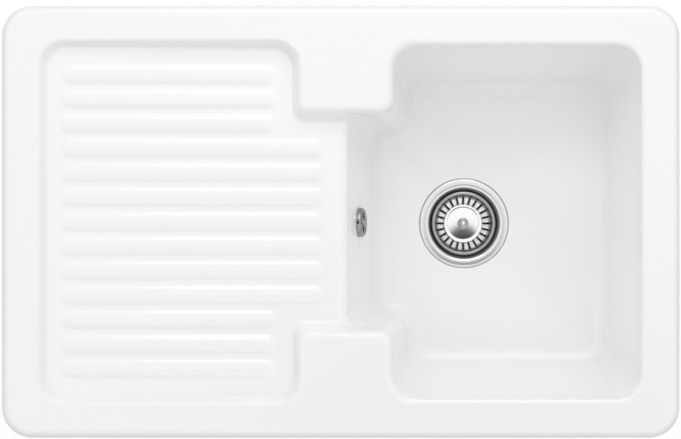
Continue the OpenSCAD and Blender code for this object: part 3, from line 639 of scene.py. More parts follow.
@dataclass(frozen=True)
class ClaySizes:
    """Sizes of the fired body, named as in the part's source where it has them.

    Rim_h and names in z are heights above the worktop's plane, other names in h are depths below the
    rim, names in r are radii, and drafts are in degrees.
    """

    # Rim and frame
    half_l: float = 400.0
    half_w: float = 255.0
    corner_r: float = 36.0
    rim_h: float = 12.0
    rim_roll: float = 10.0
    rim_lap: float = 12.0
    frame_low: float = -24.0
    seal_t: float = 1.5
    clay_t: float = 11.0

    # Drainer and its ribs
    drain_x0: float = -358.0
    drain_x1: float = -46.0
    drain_y: float = 215.5
    drain_depth: float = 10.0
    drain_fall: float = 8.0
    drain_corner_r: float = 30.0
    bank_w: float = 11.0
    bank_y: float = 9.0
    bank_skew: float = 1.25  # power that draws the bank's slope to its foot
    rib_half_count: int = 6
    rib_pitch: float = 29.0
    rib_w: float = 23.0
    rib_rise: float = 2.8
    rib_edge: float = 8.5  # width of a rib's rounded edge
    rib_outset: float = 0.7  # how far outside the rib that edge starts
    rib_power: float = 1.5  # power of the edge's sine
    rib_share: float = 0.98  # share of the bank above which there are ribs
    rib_x0: float = -331.5
    rib_end_long: float = -20.0
    rib_end_short: float = -77.0

    # Ledges and the neck between them
    ledge_x: float = 52.0
    ledge_y: float = 137.0
    ledge_r: float = 8.0
    ledge_bank: float = 20.0
    ledge_roll: float = 9.0
    neck_reach: float = 120.0  # half the length of the neck's rectangle
    neck_ease: float = 8.0  # reach over which drainer and bowl pass into each other
    neck_end: tuple[float, float] = (26.0, 46.0)  # where the drainer's hollow fades out
    roll_x: tuple[float, float] = (100.0, 70.0)  # where the lip's roll becomes the ledge's
    weir_roll: float = 8.0
    weir_drop: float = 18.0
    top_deepest: float = 60.0  # depth to which the glazed top is sought
    top_level: float = 1e-5  # a lesser depth counts as the flat rim

    # Bowl and its pocket below the weir
    bowl_x1: float = 359.5
    bowl_y: float = 214.0
    bowl_depth: float = 180.0
    bowl_corner_r: float = 30.0
    lip_roll: float = 5.0
    pocket_r: float = 14.0
    pocket_swell: float = 12.0  # growth of the pocket's corner radius
    pocket_lap: float = 60.0  # how far the pocket's rectangle reaches into the bowl
    swell_h: float = 50.0  # depth over which that radius grows
    gate_r: float = 2.5  # corner radius at the edge of the sheets' hole
    least_r: tuple[float, float, float] = (6.0, 4.0, 3.0)  # of the bowl's, the pocket's and the inner corners
    draft_end: float = 7.2
    draft_side: float = 10.8
    draft_ledge_side: float = 7.0
    draft_weir: float = 13.1
    draft_pocket: float = 4.3
    floor_fillet: float = 18.0
    floor_power: float = 1.5
    outer_trim: float = 4.5  # how far the outside is drawn in again
    foot_flare: float = 1.5  # edge between the frame's foot and the outside
    turn_power: float = 1.7  # power by which the outside turns in below the floor

    # Waste seat and overflow
    flange_z: float = -171.5
    under_z: float = -182.5
    rebate_r: float = 56.0
    rebate_z: float = -174.3
    throat_r: float = 45.0
    boss_r: float = 64.0
    waste_edge: float = 1.2  # from the rebate to the floor's last ring
    seat_gap: float = 3.0  # from the fillet to the flat underside
    overflow_h: float = 88.0
    overflow_r: float = 15.0

    # Hollows of the underside
    web_x: float = -203.0
    web_half: float = 6.0
    drain_gap: float = 4.0
    drain_hollow_r: float = 12.0
    ledge_gap: tuple[float, float, float] = (12.0, 2.0, 8.0)  # at the ledge's ends, inner and outer side
    ledge_hollow_r: float = 10.0
    hollow_edge: float = 2.0
    tap_r: float = 17.5
    tap_skin: float = 3.0
    anchor_r: float = 4.52
    anchor_cell: float = 6.5  # half the side of the cells that an anchor's hole takes
    anchor_flare: float = 0.7
    anchor_deep: float = 28.0


@dataclass(frozen=True)
class Walk:
    """A closed walk along grid lines: the grid indices, the side and the share of the side at each point."""

    ix: Array
    iy: Array
    side: Array
    share: Array


@dataclass(frozen=True)
class Grid:
    """The lines of a sheet across x and across y, between which its cells lie."""

    xs: Array
    ys: Array

    def cells(self, x0: float, x1: float, y0: float, y1: float) -> Array:
        """Which cells have their middle in a box, by row and column."""
        mx, my = (self.xs[1:] + self.xs[:-1]) / 2, (self.ys[1:] + self.ys[:-1]) / 2
        return ((mx > x0) & (mx < x1))[:, None] & ((my > y0) & (my < y1))

    def walk(self, corners: Sequence[tuple[float, float]]) -> Walk:
        """Walks along the lines from corner to corner.

        Args:
            corners: The corners in order, each on a line of both kinds.

        Returns:
            The walk, each side without its last point.
        """
        at = [[int(np.argmin(np.abs(lines - v))) for lines, v in zip((self.xs, self.ys), corner)]
              for corner in corners]
        ix, iy, side, share = [], [], [], []
        for k, (a, b) in enumerate(zip(at, at[1:] + at[:1])):
            steps = max(abs(b[0] - a[0]), abs(b[1] - a[1]))
            i = a[0] + np.sign(b[0] - a[0]) * np.arange(steps)
            j = a[1] + np.sign(b[1] - a[1]) * np.arange(steps)
            place, lines, m = (self.xs[i], self.xs, 0) if a[1] == b[1] else (self.ys[j], self.ys, 1)
            first, last = lines[a[m]], lines[b[m]]
            ix.append(i)
            iy.append(j)
            side.append(np.full(steps, k))
            share.append((place - first) / (last - first))
        return Walk(*(np.concatenate(v) for v in (ix, iy, side, share)))


def box_corners(x0: float, x1: float, y0: float, y1: float) -> list[tuple[float, float]]:
    """The corners of a box in plan, anticlockwise from the greatest x and the least y."""
    return [(x1, y0), (x1, y1), (x0, y1), (x0, y0)]


def rounded(path: Walk, corners: Array, radii: Array) -> Array:
    """Puts the points of a walk on an outline with round corners.

    A point nearer to a corner than its radius goes to the corner's arc, at an angle in proportion to
    its distance; the other points stay on their side.

    Args:
        path: The walk, with as many sides as the outline.
        corners: The sharp corners of the outline, in order.
        radii: Their radii.

    Returns:
        The points in plan.
    """
    here, there = corners[path.side], corners[(path.side + 1) % len(corners)]
    before = corners[(path.side - 1) % len(corners)]
    after = corners[(path.side + 2) % len(corners)]
    along = there - here
    length = np.linalg.norm(along, axis=1)
    out = along / length[:, None]
    back = (before - here) / np.linalg.norm(before - here, axis=1)[:, None]
    onward = (after - there) / np.linalg.norm(after - there, axis=1)[:, None]
    r0, r1 = radii[path.side], radii[(path.side + 1) % len(corners)]
    from_start, from_end = path.share * length, (1.0 - path.share) * length
    a0 = (1.0 - np.minimum(from_start / r0, 1.0)) * math.pi / 4.0
    a1 = (1.0 - np.minimum(from_end / r1, 1.0)) * math.pi / 4.0
    cos0, sin0, cos1, sin1 = (v[:, None] for v in (np.cos(a0), np.sin(a0), np.cos(a1), np.sin(a1)))
    r0, r1 = r0[:, None], r1[:, None]
    straight = here + from_start[:, None] * out
    first = here + r0 * (out + back) - r0 * (back * cos0 + out * sin0)
    last = there + r1 * (onward - out) - r1 * (onward * cos1 - out * sin1)
    near_start = (from_start < r0[:, 0])[:, None]
    near_end = (from_end < r1[:, 0])[:, None]
    return np.where(near_start, first, np.where(near_end, last, straight))


def plate(path: Walk, box: Box, out: float, radius: float) -> Array:
    """A box with round corners, moved out on all sides, for a walk of four sides."""
    x0, x1, y0, y1 = box
    corners = np.array(box_corners(x0 - out, x1 + out, y0 - out, y1 + out))
    return rounded(path, corners, np.full(4, radius + out))


def slope(degrees: float) -> float:
    """How far a drafted wall leans in for each unit of depth: the tangent of its draft."""
    return math.tan(math.radians(degrees))


def lift(plan: Array, z: object) -> Array:
    """Points in plan, given a height."""
    return np.concatenate([plan, np.broadcast_to(np.asarray(z, float), plan.shape[:-1])[..., None]], axis=-1)


@dataclass
class ClayBody:
    """The fired body: a top sheet, an under sheet, and bands that join them at the rim and in the bowl.

    Hole_x and hole_y are the sides of the sheets' hole, wide at the bowl and narrow at the pocket. Block
    is where the corner blocks start in x and y, and their side. Under_inset is how far the under sheet
    is drawn in. Lap_edge, foot_edge and the other edges and ends are points of eased edges, by their
    distances from the corner along and across. Anchor_lead is how deep the edge of an anchor's hole is,
    and lip_lead how far outside its roll the lip starts. Lip_guard, wall_h, low_wall_h, outer_h and
    low_outer_h are depths of rings;
    hole_rows are those of the overflow's block from its middle, which lies hole_shift lower outside, and
    hole_half is half that block's width. Floor_shares are the shares of the way to the waste at which
    the even rings end and the late one lies.
    """

    size: ClaySizes = field(default_factory=ClaySizes)
    skin: Skin = field(default_factory=Skin)
    hole_x: tuple[float, float, float] = (-10.0, 48.0, 362.0)
    hole_y: tuple[float, float] = (141.0, 217.0)
    block: tuple[float, float, float] = (364.0, 219.0, 24.0)
    under_inset: float = 1.2
    round_steps: int = 9
    weir_steps: int = 6
    turn_steps: int = 6
    share_steps: int = 24
    lap_edge: Rows = ((-1.0, 0.0), (-0.3, 0.3), (0.0, 1.2))
    foot_edge: Rows = ((0.0, 1.2), (0.2, 0.5), (0.6, 0.15))
    drip_edge: Rows = ((0.1, 0.12), (0.4, 0.0))
    mouth_edge: Rows = ((1.7, 0.0), (0.6, 0.4), (0.0, 1.6))
    ceiling_edge: Rows = ((0.0, 3.0), (-0.9, 0.9), (-3.0, 0.0))
    tap_edge: Rows = ((1.0, 0.0), (0.0, 0.8))
    tap_end: Rows = ((0.0, 1.0), (-1.0, 0.0))
    rebate_edge: Rows = ((0.5, 0.25), (0.0, 1.0))
    throat_edge: Rows = ((1.0, 0.0), (0.0, 1.0))
    bore_edge: Rows = ((1.6, 0.0), (0.5, 0.15), (0.0, 0.8))
    bore_end: Rows = ((0.0, 0.8), (0.8, 0.0))
    anchor_lead: float = 0.5
    lip_lead: float = 1.6
    lip_guard: tuple[float, ...] = (11.0, 14.5, 18.0)
    wall_h: tuple[float, ...] = (31.0, 40.0, 54.0)
    low_wall_h: tuple[float, ...] = (124.0, 145.0)
    outer_h: tuple[float, ...] = (44.0, 57.0)
    low_outer_h: tuple[float, ...] = (130.0,)
    hole_rows: tuple[float, ...] = (-20.0, -10.0, 0.0, 10.0, 20.0)
    hole_shift: float = 2.5
    hole_half: float = 22.3
    floor_shares: tuple[float, float] = (0.9, 0.96)
    floor_steps: int = 7

    def drain_floor(self, x: Array) -> Array:
        """Depth of the drainer's floor below the rim: it falls evenly from its outer end to the weir."""
        s = self.size
        foot = s.drain_x0 + s.bank_w
        return s.drain_depth + s.drain_fall * (x - foot) / -foot

    def drain_share(self, x: Array, y: Array) -> Array:
        """Share of the bank's width at which a point lies inside the drainer, from 0 to 1.

        The outline at a share is a rectangle with round corners joined to the neck between the
        ledges, each drawn in by its bank's width times the share.

        Args:
            x: Places across x.
            y: Places across y.

        Returns:
            The share at each place.
        """
        s = self.size

        def outline(t: Array) -> Array:
            """Distance to the outline at a share."""
            x0, x1 = s.drain_x0 + s.bank_w * t, s.drain_x1 - s.bank_w * t
            basin = box_distance(x - (x0 + x1) / 2, y, (x1 - x0) / 2, s.drain_y - s.bank_y * t,
                                 s.drain_corner_r - s.bank_w * t / 2)
            neck = box_distance(x, y, s.neck_reach, s.ledge_y - s.ledge_bank * t, 0.0)
            return round_union(basin, neck, s.ledge_r + s.bank_w * t / 2)

        return halve(outline, np.zeros_like(x), np.ones_like(x), self.share_steps)

    def rib_height(self, x: Array, y: Array) -> Array:
        """Height of the nearest rib: its rise times a power of a sine across its rounded edge.

        Args:
            x: Places across x.
            y: Places across y.

        Returns:
            The height at each place.
        """
        s = self.size
        number = np.clip(np.round(y / s.rib_pitch), -s.rib_half_count, s.rib_half_count)
        y_rib = number * s.rib_pitch
        long = np.abs(y_rib) + s.rib_w / 2 < s.ledge_y - s.ledge_bank
        end = np.where(long, s.rib_end_long, s.rib_end_short)
        half = (end - s.rib_x0) / 2 - s.rib_w / 2
        beyond = np.maximum(np.abs(x - (end + s.rib_x0) / 2) - half, 0.0)
        inside = s.rib_w / 2 - np.hypot(beyond, y - y_rib)
        share = np.clip((inside + s.rib_outset) / s.rib_edge, 0.0, 1.0)
        return s.rib_rise * np.sin(share * math.pi / 2) ** s.rib_power

    def weir_x(self, h: Array) -> Array:
        """Place of the wall below the weir at a depth below the rim."""
        s = self.size
        under, ease = np.maximum(h - s.weir_drop, 0.0), 2.0 * s.weir_roll
        below = np.where(under < ease, under**2 / (2.0 * ease), under - ease / 2.0)
        return s.weir_roll - roll_out(h - s.weir_drop, s.weir_roll) + below * slope(s.draft_weir)

    def pocket_round(self, h: Array) -> Array:
        """Corner radius of the pocket below the weir: it swells evenly below the lip."""
        s = self.size
        return s.pocket_r + s.pocket_swell * smooth((h - s.lip_roll) / s.swell_h)

    def bowl_sides(self, h: Array, d: Array) -> tuple[Array, Array, Array, Array]:
        """Right side, left side, half width and the pocket's half width at depth h, moved out by d."""
        s = self.size
        return (s.bowl_x1 - s.lip_roll - h * slope(s.draft_end) + d,
                s.ledge_x + s.ledge_roll + h * slope(s.draft_ledge_side) - d,
                s.bowl_y - s.lip_roll - h * slope(s.draft_side) + d,
                s.ledge_y - s.ledge_roll - h * slope(s.draft_pocket) + d)

    def bowl_distance(self, x: Array, y: Array, h: Array) -> Array:
        """Distance in plan to the bowl's outline at depth h: a rectangle joined to the pocket.

        Args:
            x: Places across x.
            y: Places across y.
            h: Depths below the rim.

        Returns:
            The distance at each place, less than 0 in the bowl.
        """
        s = self.size
        xr, xl, yb, yn = self.bowl_sides(h, 0.0)
        xw = self.weir_x(h)
        main = box_distance(x - (xr + xl) / 2, y, (xr - xl) / 2, yb, s.bowl_corner_r)
        end = xl + s.pocket_lap
        pocket = box_distance(x - (xw + end) / 2, y, (end - xw) / 2, yn, self.pocket_round(h))
        near = smooth((s.roll_x[0] - x) / (s.roll_x[0] - s.roll_x[1]))
        roll = s.lip_roll + (s.ledge_roll - s.lip_roll) * near
        return round_union(main, pocket, s.ledge_r + s.ledge_roll) - roll_out(h, roll)

    def top(self, x: Array, y: Array) -> Array:
        """Height of the glazed top at points in plan.

        The depth at which the eased union of the bowl's and the drainer's hollows closes, found by
        halving; the drainer's hollow is its floor's depth times an even rise across its bank.

        Args:
            x: Places across x.
            y: Places across y.

        Returns:
            The height at each place, above the worktop's plane.
        """
        s = self.size
        fade = 1.0 - smooth((x - s.neck_end[0]) / (s.neck_end[1] - s.neck_end[0]))
        bank = smooth(self.drain_share(x, y) ** s.bank_skew) * fade
        drain = self.drain_floor(x) * bank - self.rib_height(x, y) * (bank > s.rib_share)
        ease = s.neck_ease * np.sqrt(bank)

        def hollow(h: Array) -> Array:
            """How far a depth lies beyond the hollows, less than 0 in the clear."""
            return soft_min(self.bowl_distance(x, y, h), h - drain, ease)

        depth = halve(hollow, np.zeros_like(x), np.full_like(x, s.top_deepest))
        return s.rim_h - np.where(depth < s.top_level, 0.0, depth)

    @cached_property
    def grid(self) -> Grid:
        """The sheets' lines across x and across y, close where the form turns."""
        s = self.size
        xs = spans((-388, -364, 4), (-364, -358, 2), (-358, -347, 8), (-347, -332, 5), (-332, -318, 9),
                   (-318, -90, 6), (-90, -77, 8), (-77, -63, 5), (-63, -48, 9), (-48, -31.5, 6),
                   (-31.5, -19.5, 7), (-19.5, -10, 4), (-10, 14, 9), (14, 32, 4), (32, 48, 8),
                   (48, 88, 9), (88, 322, 6), (322, 362, 9), (362, 364, 1), (364, 388, 4),
                   (-345, -343, 1), (-209, -207, 1), (-199, -197, 1), (-61, -61.1, 1), (-42, -40, 1),
                   (40, 42, 1), (198.5, 211.5, 4), (-256.5, -243.5, 4))
        rib = np.array([-14.5, -12.3, -10.8, -9.0, -6.4, 0.0, 6.4, 9.0, 10.8, 12.3, 14.5])
        ribs = (np.arange(-s.rib_half_count, s.rib_half_count + 1)[:, None] * s.rib_pitch + rib).ravel()
        half = spans((181.5, 200, 4), (200, 213, 8), (213, 219, 3), (219, 243, 4), (207, 217, 1),
                     (225.5, 238.5, 4), (114, 141, 11))
        return Grid(xs, np.unique(np.round(np.concatenate([ribs, half, -half]), 3)))

    def warp(self, x: Array, y: Array, inset: float) -> tuple[Array, Array]:
        """Bends the sheets' corner blocks so that their outer corner is an arc.

        Inside a block each point is the blend of the block's two straight sides and the two halves
        of the arc, as in a Coons patch.

        Args:
            x: Places of the grid's points across x.
            y: Their places across y.
            inset: How far the outer edges are drawn in.

        Returns:
            The bent places across x and across y.
        """
        bx, by, r = self.block
        size = r - inset
        a, b = np.maximum(np.abs(x) - bx, 0.0) / r, np.maximum(np.abs(y) - by, 0.0) / r
        eighth, middle = math.pi / 4, a * b * math.sqrt(0.5)
        u = b * np.sin(eighth * a) + a * np.cos(eighth * b) - middle
        v = b * np.cos(eighth * a) + a * np.sin(eighth * b) - middle
        both = (a > 0) & (b > 0)
        u, v = np.where(both, u, a), np.where(both, v, b)
        return (np.sign(x) * (np.minimum(np.abs(x), bx) + size * u),
                np.sign(y) * (np.minimum(np.abs(y), by) + size * v))

    def tee(self) -> list[tuple[float, float]]:
        """Corners of the sheets' hole for the bowl, anticlockwise from the lower right."""
        xa, xb, xc = self.hole_x
        y1, y2 = self.hole_y
        return [(xc, -y2), (xc, y2), (xb, y2), (xb, y1), (xa, y1), (xa, -y1), (xb, -y1), (xb, -y2)]

    def in_tee(self) -> Array:
        """Which cells lie in the bowl's hole."""
        xa, xb, xc = self.hole_x
        y1, y2 = self.hole_y
        return self.grid.cells(xb, xc, -y2, y2) | self.grid.cells(xa, xb + 1, -y1, y1)

    def tee_ring(self, path: Walk, h: float, d: float, weir: float | None = None, trim: float = 0.0) -> Array:
        """The bowl's outline at depth h, moved out by d; weir sets the place of the weir's side.

        Args:
            path: The walk round the bowl's hole.
            h: Depth below the rim.
            d: How far the outline is moved out.
            weir: Place of the weir's side across x, if it isn't the wall's own.
            trim: How far the right side and the long sides are drawn in again.

        Returns:
            The ring in plan.
        """
        s = self.size
        xr, xl, yb, yn = self.bowl_sides(np.float64(h), np.float64(d))
        xr, yb = xr - trim, yb - trim
        xw = self.weir_x(np.float64(h)) - d if weir is None else weir
        if weir is not None:
            wider = d * (s.ledge_roll / s.lip_roll - 1.0)
            xl, yn = xl - wider, yn + wider
        half = [(xr, yb), (xl, yb), (xl, yn), (xw, yn)]
        corners = np.array([(xr, -yb), *half, *((x, -y) for x, y in half[:0:-1])])
        pocket_r = float(self.pocket_round(np.float64(h)))
        radii = (s.bowl_corner_r + d, pocket_r + d, s.ledge_r + s.ledge_roll - d)
        big, small, inner = (max(pair) for pair in zip(s.least_r, radii))
        if weir is not None:
            way = 1.0 - weir / self.hole_x[0]
            small = s.gate_r + (s.pocket_r - s.gate_r) * way
            inner = s.gate_r + (s.ledge_r + s.ledge_roll - s.gate_r) * way
        return rounded(path, corners, np.array([big, big, big, inner, small, small, inner, big]))

    def build(self) -> bpy.types.Object:
        """Makes the whole body as one closed mesh, glazed above and bare below."""
        skin, grid, opened = self.skin, self.grid, self.in_tee()
        gx, gy = np.meshgrid(grid.xs, grid.ys, indexing="ij")
        tx, ty = self.warp(gx, gy, 0.0)
        top = skin.add(np.stack([tx, ty, self.top(tx, ty)], axis=-1))
        skin.net(top, keep=~opened)
        ux, uy = self.warp(gx, gy, self.under_inset)
        under = skin.add(np.stack([ux, uy, np.full_like(ux, self.size.frame_low)], axis=-1))
        holes = self.hollows(under)
        skin.net(under, keep=~(opened | holes), mark=1)
        x, y = self.block[0] + self.block[2], self.block[1] + self.block[2]
        self.rim_band(grid.walk(box_corners(-x, x, -y, y)), top, under)
        self.bowl_band(grid.walk(self.tee()), top, under)
        return Piece("sink_clay", skin, (GLAZE, BISQUE), stands_for=("sink_body",), sharp=None).build()

    def rim_band(self, path: Walk, top: Array, under: Array) -> None:
        """Joins the sheets round the outside: flat rim, roll, lap, and the frame's side.

        Args:
            path: The walk round the sheets.
            top: Point numbers of the top sheet.
            under: Point numbers of the under sheet.
        """
        s = self.size
        a = quarter(self.round_steps)
        roll = [(s.rim_roll * (1 - v), s.rim_h - s.rim_roll * (1 - w)) for v, w in zip(np.sin(a), np.cos(a))]
        rows = [(s.rim_roll, s.rim_h), *roll, *((along, s.seal_t + up) for along, up in self.drip_edge),
                *((s.rim_lap + along, s.seal_t - down) for along, down in self.lap_edge),
                *((s.rim_lap + along, s.frame_low + up) for along, up in self.foot_edge)]
        box = (-s.half_l, s.half_l, -s.half_w, s.half_w)
        rings = [lift(plate(path, box, -d, s.corner_r), z) for d, z in rows]
        glazed = 1 + len(roll) + len(self.drip_edge)
        upper = self.skin.band(top[path.ix, path.iy], rings[:glazed])
        self.skin.band(upper[-1], rings[glazed:], under[path.ix, path.iy], mark=1)

    def hollows(self, under: Array) -> Array:
        """Makes the hollows of the underside.

        Args:
            under: Point numbers of the under sheet.

        Returns:
            Which cells of the under sheet they leave open.
        """
        s = self.size
        x_out, x_in = s.drain_x0 + s.bank_w + s.drain_gap, -s.ledge_x - s.bank_w
        far = s.bowl_y - s.bank_w - s.drain_gap
        taken = [self.pocket(under, (x0, x1, -far, far), s.drain_hollow_r,
                             lambda x: s.rim_h - self.drain_floor(x) - s.clay_t)
                 for x0, x1 in ((x_out, s.web_x - s.web_half), (s.web_x + s.web_half, x_in))]
        end, near, far = s.ledge_gap
        for side in (-1, 1):
            y0, y1 = sorted((side * (s.ledge_y + s.clay_t - near), side * (s.bowl_y - far)))
            taken.append(self.pocket(under, (end - s.ledge_x, s.ledge_x - end, y0, y1), s.ledge_hollow_r,
                                     lambda x: np.full_like(x, s.rim_h - s.clay_t), s.tap_r))
        taken += [self.anchor_hole(under, x, y) for x, y in CLIP_PLACES]
        return np.any(taken, axis=0)

    def pocket(self, under: Array, box: Box, radius: float, ceiling: Callable[[Array], Array],
               tap: float = 0.0) -> Array:
        """A hollow with round corners, a rolled edge and a ceiling, and in it a blind hole for a tap.

        Args:
            under: Point numbers of the under sheet.
            box: Least and greatest x, then least and greatest y of the hollow.
            radius: Radius of its corners in plan.
            ceiling: Height of its ceiling as a function of x.
            tap: Radius of the blind hole, or 0 for none.

        Returns:
            Which cells it takes.
        """
        x0, x1, y0, y1 = box
        edge, low, skin_z = self.size.hollow_edge, self.size.frame_low, self.size.rim_h - self.size.tap_skin
        outer = (x0 - edge, x1 + edge, y0 - edge, y1 + edge)
        path = self.grid.walk(box_corners(*outer))

        def ring(out: float, z: object) -> Array:
            """The outline moved out, at a height or at a function of x."""
            plan = plate(path, box, out, radius)
            return lift(plan, z(plan[:, 0]) if callable(z) else z)

        rows = [ring(out, low + up) for out, up in self.mouth_edge]
        rows += [ring(out, lambda x, down=down: ceiling(x) - down) for out, down in self.ceiling_edge]
        last = self.skin.band(under[path.ix, path.iy], rows, mark=1)[-1]
        if tap:
            centre = ((x0 + x1) / 2, (y0 + y1) / 2)
            z = float(ceiling(np.zeros(1))[0])
            steps = [(tap + out, z + up) for out, up in self.tap_edge]
            steps += [(tap + out, skin_z - down) for out, down in self.tap_end]
            last = self.round_hole(last, rows[-1][:, :2] - centre, centre, steps)
        self.close(last, path)
        return self.grid.cells(*outer)

    def round_hole(self, start: Array, away: Array, centre: tuple[float, float],
                   steps: Sequence[tuple[float, float]]) -> Array:
        """Turns from a ring of points into a round hole.

        Args:
            start: Point numbers of the ring.
            away: Its points in plan, measured from the centre.
            centre: The hole's centre.
            steps: Radius and height of each ring of the hole.

        Returns:
            The point numbers of the hole's last ring.
        """
        way = away / np.linalg.norm(away, axis=1, keepdims=True)
        return self.skin.band(start, [lift(way * r + centre, z) for r, z in steps], mark=1)[-1]

    def close(self, ring: Array, path: Walk) -> None:
        """Fills the ring that ends a hollow of four sides."""
        self.skin.fill(ring, int(np.sum(path.side == 1)), int(np.sum(path.side == 0)), mark=1)

    def anchor_hole(self, under: Array, x: float, y: float) -> Array:
        """Makes a blind round hole for a clip's anchor.

        Args:
            under: Point numbers of the under sheet.
            x: Place of the hole across x.
            y: Its place across y.

        Returns:
            Which cells it takes.
        """
        s = self.size
        box = (x - s.anchor_cell, x + s.anchor_cell, y - s.anchor_cell, y + s.anchor_cell)
        path = self.grid.walk(box_corners(*box))
        away = np.stack([self.grid.xs[path.ix] - x, self.grid.ys[path.iy] - y], axis=1)
        steps = [(s.anchor_r + s.anchor_flare, s.frame_low), (s.anchor_r, s.frame_low + self.anchor_lead),
                 (s.anchor_r, s.frame_low + s.anchor_deep)]
        self.close(self.round_hole(under[path.ix, path.iy], away, (x, y), steps), path)
        return self.grid.cells(*box)

    def bowl_band(self, path: Walk, top: Array, under: Array) -> None:
        """Joins the sheets through the bowl: lip, weir, walls, floor, waste seat, throat and outside.

        Args:
            path: The walk round the bowl's hole.
            top: Point numbers of the top sheet.
            under: Point numbers of the under sheet.
        """
        s, skin = self.size, self.skin
        rings, inner_row = self.inner_rings(path)
        inner = skin.add(np.stack(rings))
        inner = np.concatenate([top[path.ix, path.iy][None, :], inner])
        way = self.waste_way(rings[-1])
        seat = [*((s.rebate_r + out, s.flange_z - down) for out, down in self.rebate_edge),
                (s.rebate_r, s.rebate_z),
                *((s.throat_r + out, s.rebate_z - down) for out, down in self.throat_edge)]
        throat = skin.band(inner[-1], [self.circle(way, r, z) for r, z in seat])
        rings, outer_row = self.outer_rings(path, way)
        outer = np.concatenate([under[path.ix, path.iy][None, :], skin.add(np.stack(rings))])
        skin.net(np.stack([throat[-1], outer[-1]]), wrap=True, mark=1)
        columns = np.flatnonzero((path.side == 4) & (np.abs(self.grid.ys[path.iy]) < self.hole_half))
        c0, c1 = int(columns[0]), int(columns[-1])
        count = len(self.hole_rows)
        for rows, first, mark in ((inner, inner_row, 0), (outer, outer_row, 1)):
            keep = np.ones((len(rows) - 1, rows.shape[1]), bool)
            keep[first : first + count - 1, c0:c1] = False
            skin.net(rows, wrap=True, keep=keep, mark=mark)
        self.overflow_hole(inner[inner_row : inner_row + count, c0 : c1 + 1],
                           outer[outer_row : outer_row + count, c0 : c1 + 1])

    def inner_rings(self, path: Walk) -> tuple[list[Array], int]:
        """Rings down the inside of the bowl.

        Those down to the weir's foot stand on the height of the glazed top; those below follow the
        drafted walls and the fillet, and the floor dips evenly to the waste.

        Args:
            path: The walk round the bowl's hole.

        Returns:
            The rings, and the row at which the overflow hole's block starts, the lip's own row being 0.
        """
        s = self.size
        a = quarter(self.round_steps)
        roll = [(s.lip_roll * (1 - c), s.lip_roll * (1 - v)) for v, c in zip(np.sin(a), np.cos(a))]
        high = [(0.0, s.lip_roll + self.lip_lead), (0.0, s.lip_roll), *roll,
                *((h, 0.0) for h in self.lip_guard)]
        gate = np.linspace(self.hole_x[0], 0.0, len(high) + 1)[1:]
        plans = [self.tee_ring(path, h, d, x) for (h, d), x in zip(high, gate)]
        weir_h = [s.weir_drop + s.weir_roll * (1 - math.cos(v)) for v in quarter(self.weir_steps)]
        plans += [self.tee_ring(path, h, 0.0) for h in weir_h]
        foot = s.bowl_depth - s.floor_fillet
        walls = [*self.wall_h, *(s.overflow_h + row for row in self.hole_rows), *self.low_wall_h, foot]
        low = [(h, 0.0) for h in walls]
        low += [(foot + s.floor_fillet * math.sin(v), -s.floor_fillet * (1 - math.cos(v))) for v in a]
        rings = [lift(p, self.top(p[:, 0], p[:, 1])) for p in plans]
        rings += [lift(self.tee_ring(path, h, d), s.rim_h - h) for h, d in low]
        return rings + self.floor_rings(rings[-1]), len(plans) + 1 + len(self.wall_h)

    def outer_rings(self, path: Walk, way: Array) -> tuple[list[Array], int]:
        """Rings down the outside of the bowl and in over its underside to the throat.

        Args:
            path: The walk round the bowl's hole.
            way: Directions of the walk's points from the waste's axis.

        Returns:
            The rings, and the row at which the overflow hole's block starts, the sheet's own row being 0.
        """
        s = self.size

        def ring(h: float, d: float, z: float) -> Array:
            """The outside at depth h, moved out by d, at height z."""
            return lift(self.tee_ring(path, h, d, None, s.outer_trim), z)

        start, flare = s.rim_h - s.frame_low, s.foot_flare
        foot = s.bowl_depth - s.floor_fillet
        deep = s.rim_h - s.under_z - foot
        rings = [ring(start, s.clay_t + flare, s.frame_low),
                 ring(start + flare, s.clay_t, s.frame_low - flare)]
        middle = s.overflow_h + self.hole_shift
        walls = [*self.outer_h, *(middle + row for row in self.hole_rows), *self.low_outer_h, foot]
        rings += [ring(h, s.clay_t, s.rim_h - h) for h in walls]
        for t in np.linspace(0.0, 1.0, self.turn_steps + 1)[1:]:
            h = foot + deep * t
            rings.append(ring(h, s.clay_t - s.floor_fillet * t**s.turn_power, s.rim_h - foot - deep * t))
        rings.append(ring(foot + deep, s.clay_t - s.floor_fillet - s.seat_gap, s.under_z))
        rings.append(self.circle(way, s.boss_r, s.under_z))
        rings += [self.circle(way, s.throat_r + out, s.under_z + up) for out, up in self.throat_edge]
        return rings, 3 + len(self.outer_h)

    def floor_rings(self, last: Array) -> list[Array]:
        """Rings from the fillet's end to the waste: straight in plan, dipping by a power of the share.

        Args:
            last: The ring at the fillet's end.

        Returns:
            The rings, without that one.
        """
        s = self.size
        goal = self.circle(self.waste_way(last), s.rebate_r + s.waste_edge, s.flange_z)
        even, late = self.floor_shares
        shares = np.concatenate([np.linspace(0.0, even, self.floor_steps + 1)[1:], [late, 1.0]])
        rings = [last + (goal - last) * t for t in shares]
        for ring, t in zip(rings, shares):
            ring[:, 2] = last[:, 2] + (s.flange_z - last[:, 2]) * t**s.floor_power
        return rings

    def waste_way(self, ring: Array) -> Array:
        """Unit directions in plan from the waste's axis to the points of a ring."""
        way = ring[:, :2] - np.array(WASTE_AXIS)
        return way / np.linalg.norm(way, axis=1, keepdims=True)

    def circle(self, way: Array, radius: float, z: float) -> Array:
        """A circle round the waste's axis in given directions."""
        return lift(np.array(WASTE_AXIS) + radius * way, z)

